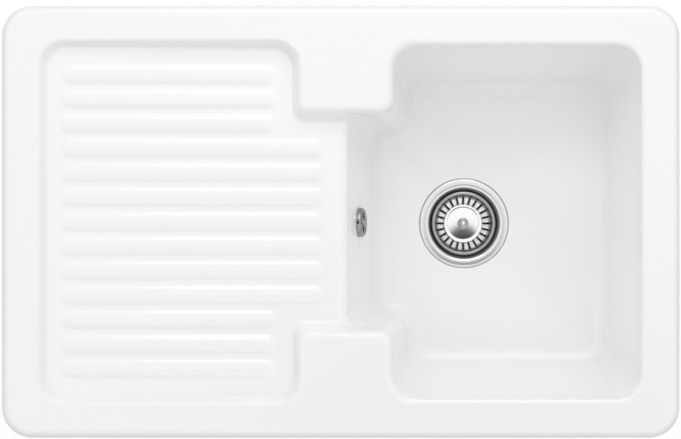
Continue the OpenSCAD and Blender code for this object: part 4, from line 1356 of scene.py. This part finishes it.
    def overflow_hole(self, inner: Array, outer: Array) -> None:
        """A round hole square through the wall below the weir, between the blocks left open in both skins.

        Args:
            inner: Point numbers of the block in the inside, row by row.
            outer: Point numbers of the block in the outside.
        """
        s = self.size
        tilt = math.radians(s.draft_weir)
        normal = np.array([math.cos(tilt), 0.0, math.sin(tilt)])
        down = np.array([math.sin(tilt), 0.0, -math.cos(tilt)])
        side = np.array([0.0, 1.0, 0.0])
        wall = s.clay_t * math.cos(tilt)
        centre = np.array([float(self.weir_x(np.float64(s.overflow_h))), 0.0, s.rim_h - s.overflow_h])
        points = np.concatenate(self.skin.points)

        def edge(block: Array) -> Array:
            """The point numbers round a block, in order."""
            return np.concatenate([block[0, :-1], block[:-1, -1], block[-1, :0:-1], block[:0:-1, 0]])

        first, last = edge(inner), edge(outer)
        away = points[first] - centre
        flat = np.stack([away @ side, away @ down], axis=1)
        flat /= np.linalg.norm(flat, axis=1, keepdims=True)
        r = s.overflow_r
        rows = [*((r + out, -deep) for out, deep in self.bore_edge),
                *((r + out, up - wall) for out, up in self.bore_end)]
        rings = [centre + normal * w + q * (flat[:, :1] * side + flat[:, 1:] * down) for q, w in rows]
        self.skin.band(first, rings, last)


# Turned and swept pieces


def spline(points: Sequence[Sequence[float]], per: int = 5) -> Array:
    """A smooth line through points in a plane, by the Catmull-Rom cubic.

    Args:
        points: The points in order.
        per: Steps to each span.

    Returns:
        The points of the line.
    """
    given = np.asarray(points, float)
    p = np.vstack([2 * given[0] - given[1], given, 2 * given[-1] - given[-2]])
    a, b, c, d = (p[k : len(p) - 3 + k, None, :] for k in range(4))
    t = np.linspace(0.0, 1.0, per, endpoint=False)[None, :, None]
    curve = 0.5 * (2 * b + (c - a) * t + (2 * a - 5 * b + 4 * c - d) * t**2 + (3 * b - a - 3 * c + d) * t**3)
    return np.vstack([curve.reshape(-1, 2), given[-1:]])


def beside(line: Array, distance: float) -> Array:
    """A line moved square to its run.

    Args:
        line: Points in a plane, in order.
        distance: How far it is moved, to the left of its run when more than 0.

    Returns:
        The moved points.
    """
    run = np.gradient(line, axis=0)
    run /= np.linalg.norm(run, axis=1, keepdims=True)
    return line + distance * np.stack([-run[:, 1], run[:, 0]], axis=1)


@dataclass(frozen=True)
class Place:
    """Where a turned piece stands: its origin, and the tilt of its axis from Z towards X in degrees."""

    origin: tuple[float, float, float]
    tilt: float = 0.0

    def at(self, local: Array) -> Array:
        """Local points moved to their place."""
        a = math.radians(self.tilt)
        axes = np.array([[math.cos(a), 0.0, -math.sin(a)], [0.0, 1.0, 0.0], [math.sin(a), 0.0, math.cos(a)]])
        return local @ axes + np.array(self.origin)


def polar(radius: Array, angle: Array, height: Array) -> Array:
    """Points from radius, angle and height, each spread to one shape."""
    r, a, z = np.broadcast_arrays(radius, angle, height)
    return np.stack([r * np.cos(a), r * np.sin(a), z], axis=-1)


def turn(skin: Skin, place: Place, profile: Array, columns: int = 96, mark: int = 0,
         reach: Callable[[Array, Array, Array], Array] | None = None) -> None:
    """Revolves a profile of radius and height about the place's axis.

    Args:
        skin: Takes the faces.
        place: Where the axis stands.
        profile: Rows of radius and height.
        columns: Number of columns round the axis.
        mark: Material number of the faces.
        reach: The radius as a function of angle, height and the profile's radius, if it isn't round.
    """
    angle = np.linspace(0.0, 2 * math.pi, columns, endpoint=False)[None, :]
    radius, height = np.asarray(profile)[:, :1], np.asarray(profile)[:, 1:]
    if reach:
        radius = reach(angle, height, radius)
    skin.net(skin.add(place.at(polar(radius, angle, height))), wrap=True, mark=mark)


def spokes(radii: Array, count: int, strip: Array, within: int, between: int) -> tuple[Array, Array]:
    """Angles of columns that keep a strip of even width about each of several spokes.

    In each pitch the first columns share the strip evenly, out to the angle whose sine is half its
    width over the radius; the others share the rest.

    Args:
        radii: Radius of each row.
        count: Number of spokes.
        strip: Half the strip's width at each row.
        within: Steps over the strip.
        between: Steps from strip to strip.

    Returns:
        The angles by row and column, and at each column the place across its own part from -1 to 1.
    """
    edge = np.arcsin(np.clip(strip / radii, -0.95, 0.95))[:, None]
    a = np.linspace(-1.0, 1.0, within + 1)[:-1]
    b = np.linspace(0.0, 1.0, between + 1)[:-1]
    pitch = 2 * math.pi / count
    one = np.concatenate([edge * a, edge + (pitch - 2 * edge) * b], axis=1)
    angles = np.concatenate([one + k * pitch for k in range(count)], axis=1)
    return angles, np.tile(np.concatenate([a, 2 * b - 1]), count)


WASTE_PLACE = Place((*WASTE_AXIS, ClaySizes.flange_z))


@dataclass(frozen=True)
class WasteFlange:
    """Flange and cup of the waste, with the spider across the cup's foot. Heights are from the flange."""

    profile: Rows = (
        (55.2, -1.35), (54.95, -0.8), (54.2, -0.35), (52.4, -0.1), (50.0, 0.0), (47.8, -0.02), (46.2, -0.28),
        (44.8, -0.95), (43.8, -2.1), (43.1, -3.9), (42.3, -6.3), (41.2, -8.8), (40.3, -10.2), (39.3, -11.0),
        (38.3, -11.9), (37.7, -14.0), (36.7, -21.0), (35.6, -29.0), (34.4, -37.0), (33.3, -40.6),
        (31.0, -43.4), (27.5, -44.7), (23.0, -45.0), (19.2, -45.0))
    thickness: float = 1.2
    # Radius below which the cup is in the darker steel, painted shade.
    painted_shade_r: float = 44.9
    columns: int = 160
    hub_r: tuple[float, float] = (3.3, 8.0)
    hub_columns: int = 48
    arm_turns: tuple[float, ...] = (60.0, 180.0, 300.0)
    arm_reach: tuple[float, float] = (5.0, 20.4)
    arm_half: float = 3.0
    arm_sink: float = 0.02

    def build(self) -> None:
        """Makes flange and cup as a turned sheet with both sides, and the spider across its foot."""
        skin = Skin()
        upper = spline(self.profile, per=4)
        lower = beside(upper, self.thickness)
        mouth = int(np.argmax(upper[:, 0] < self.painted_shade_r))
        turn(skin, WASTE_PLACE, upper[: mouth + 1], self.columns)
        # The cup from the mouth down, the sheet's underside and the hub below are in the darker steel:
        # painted shade.
        rest = np.vstack([upper[mouth:], lower[::-1], upper[:1]])
        turn(skin, WASTE_PLACE, rest, self.columns, mark=1)
        foot = self.profile[-1][1] - self.thickness
        (bore, out), high = self.hub_r, foot + self.thickness
        hub = np.array([(bore, foot), (out, foot), (out, high), (bore, high), (bore, foot)])
        turn(skin, WASTE_PLACE, hub, self.hub_columns, mark=1)
        for turned in self.arm_turns:
            self.arm(skin, math.radians(turned), foot)
        Piece("waste_flange_dressed", skin, (SPUN, PAINTED_SHADE_STEEL), "sink", ("waste_flange",), sharp=50.0).build()

    def arm(self, skin: Skin, angle: float, foot: float) -> None:
        """One flat arm of the spider, from the hub to the cup's foot, as a box."""
        half, sink = self.arm_half, self.arm_sink
        heights = [foot + sink, foot + self.thickness - sink]
        u, v, w = np.meshgrid(self.arm_reach, [-half, half], heights, indexing="ij")
        c, s = math.cos(angle), math.sin(angle)
        turned = np.stack([u * c - v * s, u * s + v * c, w], axis=-1)
        n = skin.add(WASTE_PLACE.at(turned))
        ring = np.array([[n[a, 0, 0], n[a, 1, 0], n[a, 1, 1], n[a, 0, 1]] for a in (0, 1)])
        skin.net(ring, wrap=True)
        skin.quads.append(ring.copy())
        skin.marks.append(np.zeros(2, int))


@dataclass(frozen=True)
class StrainerBasket:
    """The pressed basket. Heights are from the waste's flange.

    Slot_rows, slot_steps and bar_steps count the rows along a slot and the columns across a slot and a
    bar; slot_margins are how far outside and inside the slots the next rows lie, and foot_r and
    disc_rings the radii of the rows inside them.
    """

    lip: Rows = (
        (39.7, -9.3), (39.4, -8.8), (38.7, -8.4), (37.8, -8.2), (36.9, -8.35), (36.3, -9.0), (36.05, -10.2),
        (35.8, -12.5), (35.4, -15.5), (35.0, -18.0), (34.5, -19.4), (33.8, -20.3))
    cone: Rows = ((33.8, -20.3), (32.6, -21.1), (30.0, -22.6), (26.0, -24.9), (23.2, -26.25),
                  (22.0, -26.6), (20.8, -26.75))
    thickness: float = 0.9
    slots: int = 24
    slot_half: float = 1.3
    slot_share: float = 0.068
    slot_reach: tuple[float, float] = (23.4, 33.6)
    slot_rows: int = 12
    slot_steps: int = 6
    bar_steps: int = 10
    bar_crown: float = 0.75
    bar_lap: float = 0.4
    bar_ease: float = 2.5
    slot_margins: tuple[float, float] = (0.1, 0.5)
    foot_r: tuple[float, float] = (22.0, 21.4)
    disc_rings: tuple[float, ...] = (20.8, 19.0, 16.5, 14.0, 11.5, 9.0, 7.0, 4.9)
    disc_rise: float = 0.35

    def build(self) -> None:
        """Makes the basket as one sheet on rows of radius and columns that follow the slots.

        Lip, wall and cone come from their profiles. Between the slots the sheet rises by a bow of the
        place across the bar, and the disc is a shallow dome, the square of the radius below its top.
        """
        inner, outer = self.slot_reach
        w, steps = self.slot_half, self.slot_steps
        lip, cone, (cone_foot, cone_z) = spline(self.lip, per=3), spline(self.cone, per=6), self.cone[-1]
        slots_r = np.linspace(outer - w, inner + w, self.slot_rows)
        beyond, within = self.slot_margins
        cone_r = np.concatenate([[outer + beyond], slots_r, [inner - within, *self.foot_r]])
        disc_r = np.array(self.disc_rings)
        profile_r = np.concatenate([lip[:-1, 0], cone_r, disc_r])
        dome = cone_z + self.disc_rise * (1 - (disc_r / cone_foot) ** 2)
        profile_z = np.concatenate([lip[:-1, 1], np.interp(cone_r, cone[::-1, 0], cone[::-1, 1]), dome])
        sheet = beside(np.stack([profile_r, profile_z], axis=1), self.thickness / 2)
        first, rows = len(lip), len(profile_r)
        end = first + self.slot_rows - 1
        strip = np.minimum(w, self.slot_share * profile_r)
        angles, across = spokes(profile_r, self.slots, strip, steps, self.bar_steps)
        r = np.repeat(sheet[:, :1], angles.shape[1], axis=1)
        z = np.repeat(sheet[:, 1:], angles.shape[1], axis=1)
        in_strip = np.tile(np.arange(steps + self.bar_steps) < steps, self.slots)
        round_end = w * np.sqrt(np.clip(1 - across**2, 0, 1)) * in_strip
        (r_high, z_high), (r_low, z_low) = self.cone[2:4]
        fall = (z_high - z_low) / (r_high - r_low)
        for row, sign in ((first, 1), (end, -1)):
            r[row] += sign * round_end
            z[row] += sign * round_end * fall
        ease = self.bar_ease
        reach = smooth((profile_r - inner) / ease) * smooth((outer + self.bar_lap - profile_r) / ease)
        z += self.bar_crown * reach[:, None] * (np.clip(1 - across**2, 0, 1) * ~in_strip)
        skin = Skin()
        keep = np.ones((rows - 1, angles.shape[1]), bool)
        keep[first:end, in_strip] = False
        numbers = skin.add(WASTE_PLACE.at(polar(r, angles, z)))
        # The lip, the wall and the slots' outer ends are in the darker steel, painted shade; the rest keeps
        # the bright steel.
        skin.net(numbers[: first + 2], wrap=True, keep=keep[: first + 1], mark=1)
        skin.net(numbers[first + 1 :], wrap=True, keep=keep[first + 1 :])
        Piece("basket_pressing", skin, (MIRROR, PAINTED_SHADE_STEEL), "basket", ("strainer_basket",), sharp=60.0,
              thickness=self.thickness).build()


@dataclass(frozen=True)
class BasketKnob:
    """The knob in the middle of the basket. Heights are from the waste's flange."""

    profile: Rows = (
        (3.9, -24.8), (3.5, -23.6), (3.5, -22.4), (4.3, -21.2), (5.6, -20.5), (6.3, -19.7), (6.4, -18.7),
        (6.25, -17.8), (5.8, -17.1), (5.2, -16.85), (4.7, -16.95), (4.25, -17.1), (3.8, -16.9), (3.0, -16.45),
        (1.8, -16.05), (0.7, -15.9), (0.0, -15.88))
    shoulder_z: float = -17.8
    # Radius of the top's middle, outside which the knob is in painted shade.
    painted_shade_edge_r: float = 1.9
    columns: int = 64

    def build(self) -> None:
        """Makes the knob: its sides and the outside of its top are in the darker steel, painted shade, and
        only the middle keeps the bright steel.
        """
        skin = Skin()
        rows = spline(self.profile, per=4)
        crest = int(np.argmax((rows[:, 0] < self.painted_shade_edge_r) & (rows[:, 1] > self.shoulder_z)))
        outside = np.vstack([[0.0, rows[0, 1]], rows[: crest + 1]])
        turn(skin, WASTE_PLACE, outside, self.columns, mark=1)
        turn(skin, WASTE_PLACE, rows[crest:], self.columns)
        Piece("waste_knob", skin, (MIRROR, PAINTED_SHADE_STEEL), "stopper", ("basket_knob",), sharp=40.0).build()


@dataclass(frozen=True)
class OverflowRose:
    """The rose on the bowl's wall.

    Its rim is a profile of radius and height. Dish holds the first and the last radius and the number
    of the rows across the openings; slot_rows are the rim's rows that the slot at its top takes.
    """

    place: Place = Place((22.52, 0.0, -76.0), 76.9)
    rim: Rows = (
        (18.3, 0.0), (18.3, 1.0), (18.3, 1.7), (18.3, 3.3), (18.1, 4.3), (17.5, 5.4), (16.6, 6.2),
        (15.8, 6.5), (15.1, 6.3), (14.6, 5.7), (14.3, 5.1), (13.9, 4.65), (13.4, 4.5))
    wall: float = 1.0
    floor: float = 4.5
    dish: tuple[float, float, int] = (12.0, 7.2, 5)
    open_reach: tuple[float, float] = (6.2, 13.1)
    middle_r: tuple[float, float] = (5.0, 2.7)
    arms: int = 4
    arm_half: float = 1.1
    arm_steps: int = 4
    gap_steps: int = 28
    slot_half: float = 2.2
    slot_rows: tuple[int, int] = (2, 6)

    def build(self) -> None:
        """Makes a sheet on rows of radius and columns that follow the cross, open between its arms."""
        rim = spline(self.rim, per=2)
        least, greatest = self.open_reach
        dish_r = np.concatenate([[greatest], np.linspace(*self.dish), [least, *self.middle_r]])
        line = np.vstack([rim, np.stack([dish_r, np.full(len(dish_r), self.floor)], axis=1)])
        sheet = beside(line, self.wall / 2)
        sheet[:, 1] = np.maximum(sheet[:, 1], self.wall / 2)
        strip = np.full(len(line), self.arm_half)
        angles, _ = spokes(line[:, 0], self.arms, strip, self.arm_steps, self.gap_steps)
        points = polar(sheet[:, :1], angles, sheet[:, 1:])
        keep = np.ones((len(line) - 1, angles.shape[1]), bool)
        first, last = len(rim), len(rim) + self.dish[2] + 1
        gap = np.tile(np.arange(self.arm_steps + self.gap_steps) >= self.arm_steps, self.arms)
        keep[first:last, gap] = False
        high, low = self.slot_rows
        turned = angles[high]
        top = np.abs(np.mod(turned + turned[1] - turned[0], 2 * math.pi) - math.pi)
        keep[high:low, top < math.asin(self.slot_half / self.rim[0][0])] = False
        skin = Skin()
        skin.net(skin.add(self.place.at(points)), wrap=True, keep=keep)
        Piece("rose_pressing", skin, (CHROME,), "sink", ("overflow_rose",), sharp=60.0,
              thickness=self.wall).build()


@dataclass(frozen=True)
class OverflowHose:
    """The ribbed hose from the overflow's elbow to the waste. Lengths run along it from the elbow."""

    outer_d: float = 27.0
    rib: float = 2.0
    bore_r: float = 9.9
    bend: float = 50.0
    start: tuple[float, float] = (-4.47, -114.28)
    end_x: float = 78.0
    port_z: float = -208.0
    cuff_l: float = 20.0
    cuff_inset: float = 0.6
    collar_l: float = 2.0
    collar_r: float = 15.6
    collar_edge: Rows = ((0.3, 0.2), (0.8, 0.0))
    cuff_end: float = 1.0
    ribs: int = 28
    rib_steps: int = 8
    bore_steps: int = 30
    columns: int = 40

    def build(self) -> None:
        """Sweeps rings along the hose's line, down, round a quarter and along to the waste.

        The outer radius is the cuff's at both ends, and between them it rises and falls as the square
        of a sine once to each rib; the bore is plain.
        """
        x0, z0 = self.start
        down = z0 - (self.port_z + self.bend)
        arc = self.bend * math.pi / 2
        length = down + arc + self.end_x - (x0 + self.bend)
        rib_l = (length - 2 * self.cuff_l) / self.ribs
        middle = self.cuff_l + rib_l * np.linspace(0, self.ribs, self.ribs * self.rib_steps + 1)
        wave = np.sin(math.pi * (middle - self.cuff_l) / rib_l) ** 2
        big = self.outer_d / 2
        cuff_r = big - self.cuff_inset
        ends = [(0.0, self.collar_r), (self.collar_l, self.collar_r),
                *((self.collar_l + along, cuff_r + out) for along, out in self.collar_edge),
                (self.cuff_l - self.cuff_end, cuff_r)]
        body = np.stack([middle, big - self.rib * (1 - wave)], axis=1)
        far = [(length - s, r) for s, r in ends[::-1]]
        bore = [(length * (1 - k / self.bore_steps), self.bore_r) for k in range(self.bore_steps + 1)]
        line = np.vstack([ends, body, far, bore])
        s, r = line[:, :1], line[:, 1:]
        turned = np.clip((s - down) / arc, 0, 1) * math.pi / 2
        past = np.maximum(0, s - down - arc)
        cx = x0 + self.bend * (1 - np.cos(turned)) + past
        cz = z0 - np.minimum(s, down) - self.bend * np.sin(turned)
        b = np.linspace(0, 2 * math.pi, self.columns, endpoint=False)[None, :]
        points = np.stack([cx + r * np.sin(b) * np.cos(turned), r * np.cos(b) + 0 * s,
                           cz + r * np.sin(b) * np.sin(turned)], axis=-1)
        skin = Skin()
        rows = skin.add(points)
        skin.net(np.concatenate([rows, rows[:1]]), wrap=True)
        Piece("hose_ribbed", skin, (HOSE_PLASTIC,), "sink", ("overflow_hose",), sharp=50.0).build()


@dataclass(frozen=True)
class ClipScrews:
    """The four fixing screws, each with a rolled thread and a six-sided head.

    The rows of point, crown and foot are radii with heights above the screw's point, the top of its
    head and the foot of its head. Margins are how far below and above the rod's radius a row has to lie
    to count as the point's or the head's.
    """

    radius: float = 2.5
    tip: float = -14.0
    head: tuple[float, float] = (-66.5, -62.5)
    head_r: float = 5.0
    head_trim: float = 0.965
    pitch: float = 0.8
    thread: float = 0.38
    thread_steps: int = 5
    thread_ends: tuple[float, float] = (1.2, 0.3)
    margins: tuple[float, float] = (0.3, 0.6)
    columns: int = 30
    point: Rows = ((0.0, 0.0), (1.6, 0.0), (2.1, -0.5))
    crown: Rows = ((2.5, 0.15), (2.5, 0.0), (4.3, 0.0), (5.0, -0.5))
    foot: Rows = ((5.0, 0.6), (4.2, 0.05), (3.0, 0.0), (2.7, 0.5), (0.0, 0.6))

    def reach(self, angle: Array, height: Array, radius: Array) -> Array:
        """The radius round the screw.

        On the rod it falls by a cosine of the height over the pitch plus the share of a turn; on the
        head it is the flat's distance over the cosine of the angle from the flat's middle.

        Args:
            angle: Angles round the screw.
            height: Height of each row.
            radius: Radius of each row in the profile.

        Returns:
            The radius by row and angle.
        """
        shank = radius - self.thread * (0.5 - 0.5 * np.cos(2 * math.pi * height / self.pitch + angle))
        flat = math.cos(math.pi / 6) / np.cos(np.mod(angle, math.pi / 3) - math.pi / 6)
        under, over = self.margins
        trimmed = np.minimum(radius * flat, self.head_r * self.head_trim)
        head = np.where(radius > self.radius + over, trimmed, radius)
        rod = np.where(radius < self.radius - under, radius, shank)
        return np.where(height < self.head[1] + 1e-6, head, rod)

    def build(self) -> None:
        """Makes the screws."""
        low, high = self.head
        first, last = self.thread_ends
        rod = np.arange(self.tip - first, high + last, -self.pitch / self.thread_steps)
        profile = np.vstack([
            np.array(self.point) + (0.0, self.tip), np.stack([np.full(len(rod), self.radius), rod], axis=1),
            np.array(self.crown) + (0.0, high), np.array(self.foot) + (0.0, low)])
        for number, (x, y) in enumerate(CLIP_PLACES, 1):
            skin = Skin()
            turn(skin, Place((x, y, 0.0)), profile, self.columns, reach=self.reach)
            name = f"clip_screw_{number}"
            Piece(f"{name}_threaded", skin, (ZINC,), name, (name,), sharp=40.0).build()


@dataclass(frozen=True)
class Softened:
    """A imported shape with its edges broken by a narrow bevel.

    Faces whose angle, in degrees, is less than flat are joined; edges over sharp are bevelled.
    """

    node: str
    body: str
    finish: Finish
    width: float
    segments: int = 2
    flat: float = 0.6
    sharp: float = 35.0

    def build(self, frame: dict) -> bpy.types.Object:
        """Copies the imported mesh, joins its split points and flat faces, and bevels what is still sharp.

        Args:
            frame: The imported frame.

        Returns:
            The new object.
        """
        source = frame["nodes"][self.node]
        work = bmesh.new()
        work.from_mesh(source.data)
        work.transform(source.matrix_world)
        bmesh.ops.remove_doubles(work, verts=work.verts, dist=MERGE_M)
        flat, sharp = math.radians(self.flat), math.radians(self.sharp)
        bmesh.ops.dissolve_limit(work, angle_limit=flat, verts=work.verts, edges=work.edges)
        data = bpy.data.meshes.new(f"{self.node}_soft")
        work.to_mesh(data)
        work.free()
        data.materials.append(self.finish.material())
        data.polygons.foreach_set("use_smooth", np.ones(len(data.polygons), bool))
        data.set_sharp_from_angle(angle=sharp)
        obj = put_object(f"{self.node}_soft", data)
        edge = obj.modifiers.new("edge", "BEVEL")
        edge.width, edge.segments, edge.limit_method = self.width * MM, self.segments, "ANGLE"
        edge.angle_limit, edge.harden_normals = sharp, False
        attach(obj, self.body)
        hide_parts(self.node)
        LOG.info("%s: softened packed shape, %d faces", self.node, len(data.polygons))
        return obj


# The studio


@dataclass(frozen=True)
class Lamp:
    """One soft rectangular lamp. Lengths are in metres, the power in watts."""

    name: str
    place: tuple[float, float, float]
    aim: tuple[float, float, float]
    size: tuple[float, float]
    power: float

    def build(self) -> None:
        """Hangs the lamp at its place and turns it to its aim."""
        data = bpy.data.lights.new(self.name, "AREA")
        data.shape, data.energy = "RECTANGLE", self.power
        data.size, data.size_y = self.size
        obj = put_object(self.name, data)
        obj.location = self.place
        x, y, z = np.array(self.place) - np.array(self.aim)
        obj.rotation_euler = (math.atan2(math.hypot(x, y), z), 0.0, math.atan2(x, -y))


@dataclass
class Studio:
    """Camera, lamps, world, card and floor.

    Lengths are in metres, the lens and the sensor in millimetres, the picture in pixels. Sight is how
    far the camera sees. Sky_fall holds the two upward parts of a direction between which the sky's light
    rises, and its levels there. Card_near and card_far are half the card's width at an edge, and that
    edge's y.
    """

    camera_height: float = 3.012
    camera_y: float = -0.03
    lens: float = 134.7
    sensor: float = 36.0
    sight: float = 50.0
    picture_w: float = 681.0
    picture_offset: tuple[float, float] = (-0.25, 2.25)
    rim_height: float = 0.012
    sky: float = 0.828
    sky_fall: tuple[float, float, float, float] = (-0.05, 0.6, 0.45, 1.08)
    floor_half: float = 6.0
    floor_z: float = -0.2805
    floor_tone: float = 0.32
    floor_roughness: float = 0.9
    floor_glow: float = 0.74
    card_x: float = 0.355
    card_z: float = 4.0
    card_near: tuple[float, float] = (0.14, -0.01)
    card_far: tuple[float, float] = (0.85, -0.72)
    card_tone: float = 0.01
    card_roughness: float = 0.95
    lamps: tuple[Lamp, ...] = (
        Lamp("north_softbox", (0.15, 1.1, 1.3), (0.1, 0.0, 0.0), (0.9, 0.35), 3.0),
        Lamp("low_softbox", (0.2, 2.0, 1.05), (0.0, 0.0, 0.0), (1.6, 0.5), 5.0))

    def camera(self) -> None:
        """Looks straight down; the shift takes up the camera's own y and the picture's small offset."""
        data = bpy.data.cameras.new("camera")
        data.sensor_width, data.lens, data.clip_end = self.sensor, self.lens, self.sight
        right, down = self.picture_offset
        away = self.camera_height - self.rim_height
        down -= self.camera_y * self.lens / self.sensor * self.picture_w / away
        data.shift_x, data.shift_y = right / self.picture_w, down / self.picture_w
        obj = put_object("camera", data)
        obj.location = (0.0, self.camera_y, self.camera_height)
        bpy.context.scene.camera = obj

    def world(self) -> None:
        """A white sky, dimmer towards the horizon.

        The camera sees it white all over, and gloss and glass see it brighter than it lights.
        """
        world = bpy.data.worlds.new("studio")
        world.use_nodes = True
        bpy.context.scene.world = world
        w = Wiring(world.node_tree)
        back = world.node_tree.nodes["Background"]
        rays = w.node("ShaderNodeLightPath")
        seen = w.maths("MAXIMUM", rays.outputs["Is Camera Ray"], rays.outputs["Is Glossy Ray"])
        seen = w.maths("MAXIMUM", seen, rays.outputs["Is Transmission Ray"])
        mixed = w.node("ShaderNodeMix", data_type="FLOAT")
        w.put(mixed.inputs["Factor"], seen)
        w.put(mixed.inputs["A"], self.sky)
        w.put(mixed.inputs["B"], 1.0)
        parts = w.node("ShaderNodeSeparateXYZ")
        w.put(parts.inputs[0], w.node("ShaderNodeTexCoord").outputs["Generated"])
        fall = w.node("ShaderNodeMapRange", interpolation_type="SMOOTHSTEP")
        w.put(fall.inputs["Value"], parts.outputs["Z"])
        for label, value in zip(("From Min", "From Max", "To Min", "To Max"), self.sky_fall):
            fall.inputs[label].default_value = value
        level = w.maths("MAXIMUM", fall.outputs[0], rays.outputs["Is Camera Ray"])
        w.put(back.inputs["Strength"], w.maths("MULTIPLY", mixed.outputs["Result"], level))
        back.inputs["Color"].default_value = (1.0, 1.0, 1.0, 1.0)

    def sheet(self, names: tuple[str, str], points: Sequence[tuple[float, float, float]], tone: float,
              roughness: float) -> bpy.types.Material:
        """One staged face in a plain grey.

        Args:
            names: Names of the object and of its material.
            points: Its four corners, in order.
            tone: Its grey, as a linear number.
            roughness: Its roughness.

        Returns:
            The material.
        """
        data = bpy.data.meshes.new(names[0])
        data.from_pydata(points, [], [(0, 1, 2, 3)])
        made = bpy.data.materials.new(names[1])
        made.use_nodes = True
        shader = made.node_tree.nodes["Principled BSDF"]
        shader.inputs["Base Color"].default_value = (tone, tone, tone, 1.0)
        shader.inputs["Roughness"].default_value = roughness
        data.materials.append(made)
        put_object(names[0], data)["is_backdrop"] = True
        return made

    def floor(self) -> None:
        """A wide grey floor, lit up for the camera and for gloss alone, with the object's shadow kept."""
        a, z = self.floor_half, self.floor_z
        points = [(-a, -a, z), (a, -a, z), (a, a, z), (-a, a, z)]
        made = self.sheet(("studio_floor", "pale_floor"), points, self.floor_tone, self.floor_roughness)
        w = Wiring(made.node_tree)
        shader = made.node_tree.nodes["Principled BSDF"]
        rays = w.node("ShaderNodeLightPath")
        seen = w.maths("MAXIMUM", rays.outputs["Is Camera Ray"], rays.outputs["Is Glossy Ray"])
        shader.inputs["Emission Color"].default_value = (1.0, 1.0, 1.0, 1.0)
        w.put(shader.inputs["Emission Strength"], w.maths("MULTIPLY", seen, self.floor_glow))

    def card(self) -> None:
        """A small black card high above, which the flat metal of the waste mirrors beside its knob."""
        x, z = self.card_x, self.card_z
        (near, y1), (far, y0) = self.card_near, self.card_far
        points = [(x - near, y1, z), (x + near, y1, z), (x + far, y0, z), (x - far, y0, z)]
        self.sheet(("black_card", "black_felt"), points, self.card_tone, self.card_roughness)

    def build(self) -> None:
        """Sets up the whole studio."""
        bpy.context.scene.view_settings.view_transform = "Standard"
        self.camera()
        self.world()
        for lamp in self.lamps:
            lamp.build()
        self.card()
        self.floor()


# The whole


def dress_frame(frame: dict) -> None:
    """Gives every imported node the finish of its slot."""
    slots = {row["node"]: row["material_slot"] for row in frame["record"]["subparts"]}
    for name, obj in frame["nodes"].items():
        obj.data.materials.clear()
        obj.data.materials.append(BY_SLOT[slots[name]].material())
        LOG.info("%s: packed shape, %s", name, slots[name])


SOFTENED: tuple[Softened, ...] = (
    *(Softened(f"clip_claw_{k}", f"clip_claw_{k}", ZINC, 0.45) for k in range(1, 5)),
    Softened("hose_nut_upper", "sink", GREY_PLASTIC, 0.35),
    Softened("hose_nut_lower", "sink", GREY_PLASTIC, 0.35),
    Softened("overflow_elbow", "sink", WHITE_PLASTIC, 0.6),
    Softened("waste_body", "sink", WHITE_PLASTIC, 0.6),
    Softened("overflow_screw", "sink", CHROME, 0.15),
    Softened("body_gasket", "sink", RUBBER, 0.5),
    Softened("overflow_gasket", "sink", RUBBER, 0.4))
DRESSED = (ClayBody, WasteFlange, StrainerBasket, BasketKnob, OverflowRose, OverflowHose, ClipScrews)


def corners(box: tuple) -> list[list[float]]:
    """A box as plain lists of numbers."""
    return [[float(v) for v in corner] for corner in box]


def main() -> None:
    """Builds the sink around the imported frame."""
    logging.basicConfig(level=logging.INFO, format="%(name)s: %(message)s")
    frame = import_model()
    cad_box = corners(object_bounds())
    dress_frame(frame)
    for part in DRESSED:
        part().build()
    for shape in SOFTENED:
        shape.build(frame)
    Studio().build()
    {"cad": cad_box, "visual": corners(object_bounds())}


if __name__ == "__main__":
    main()
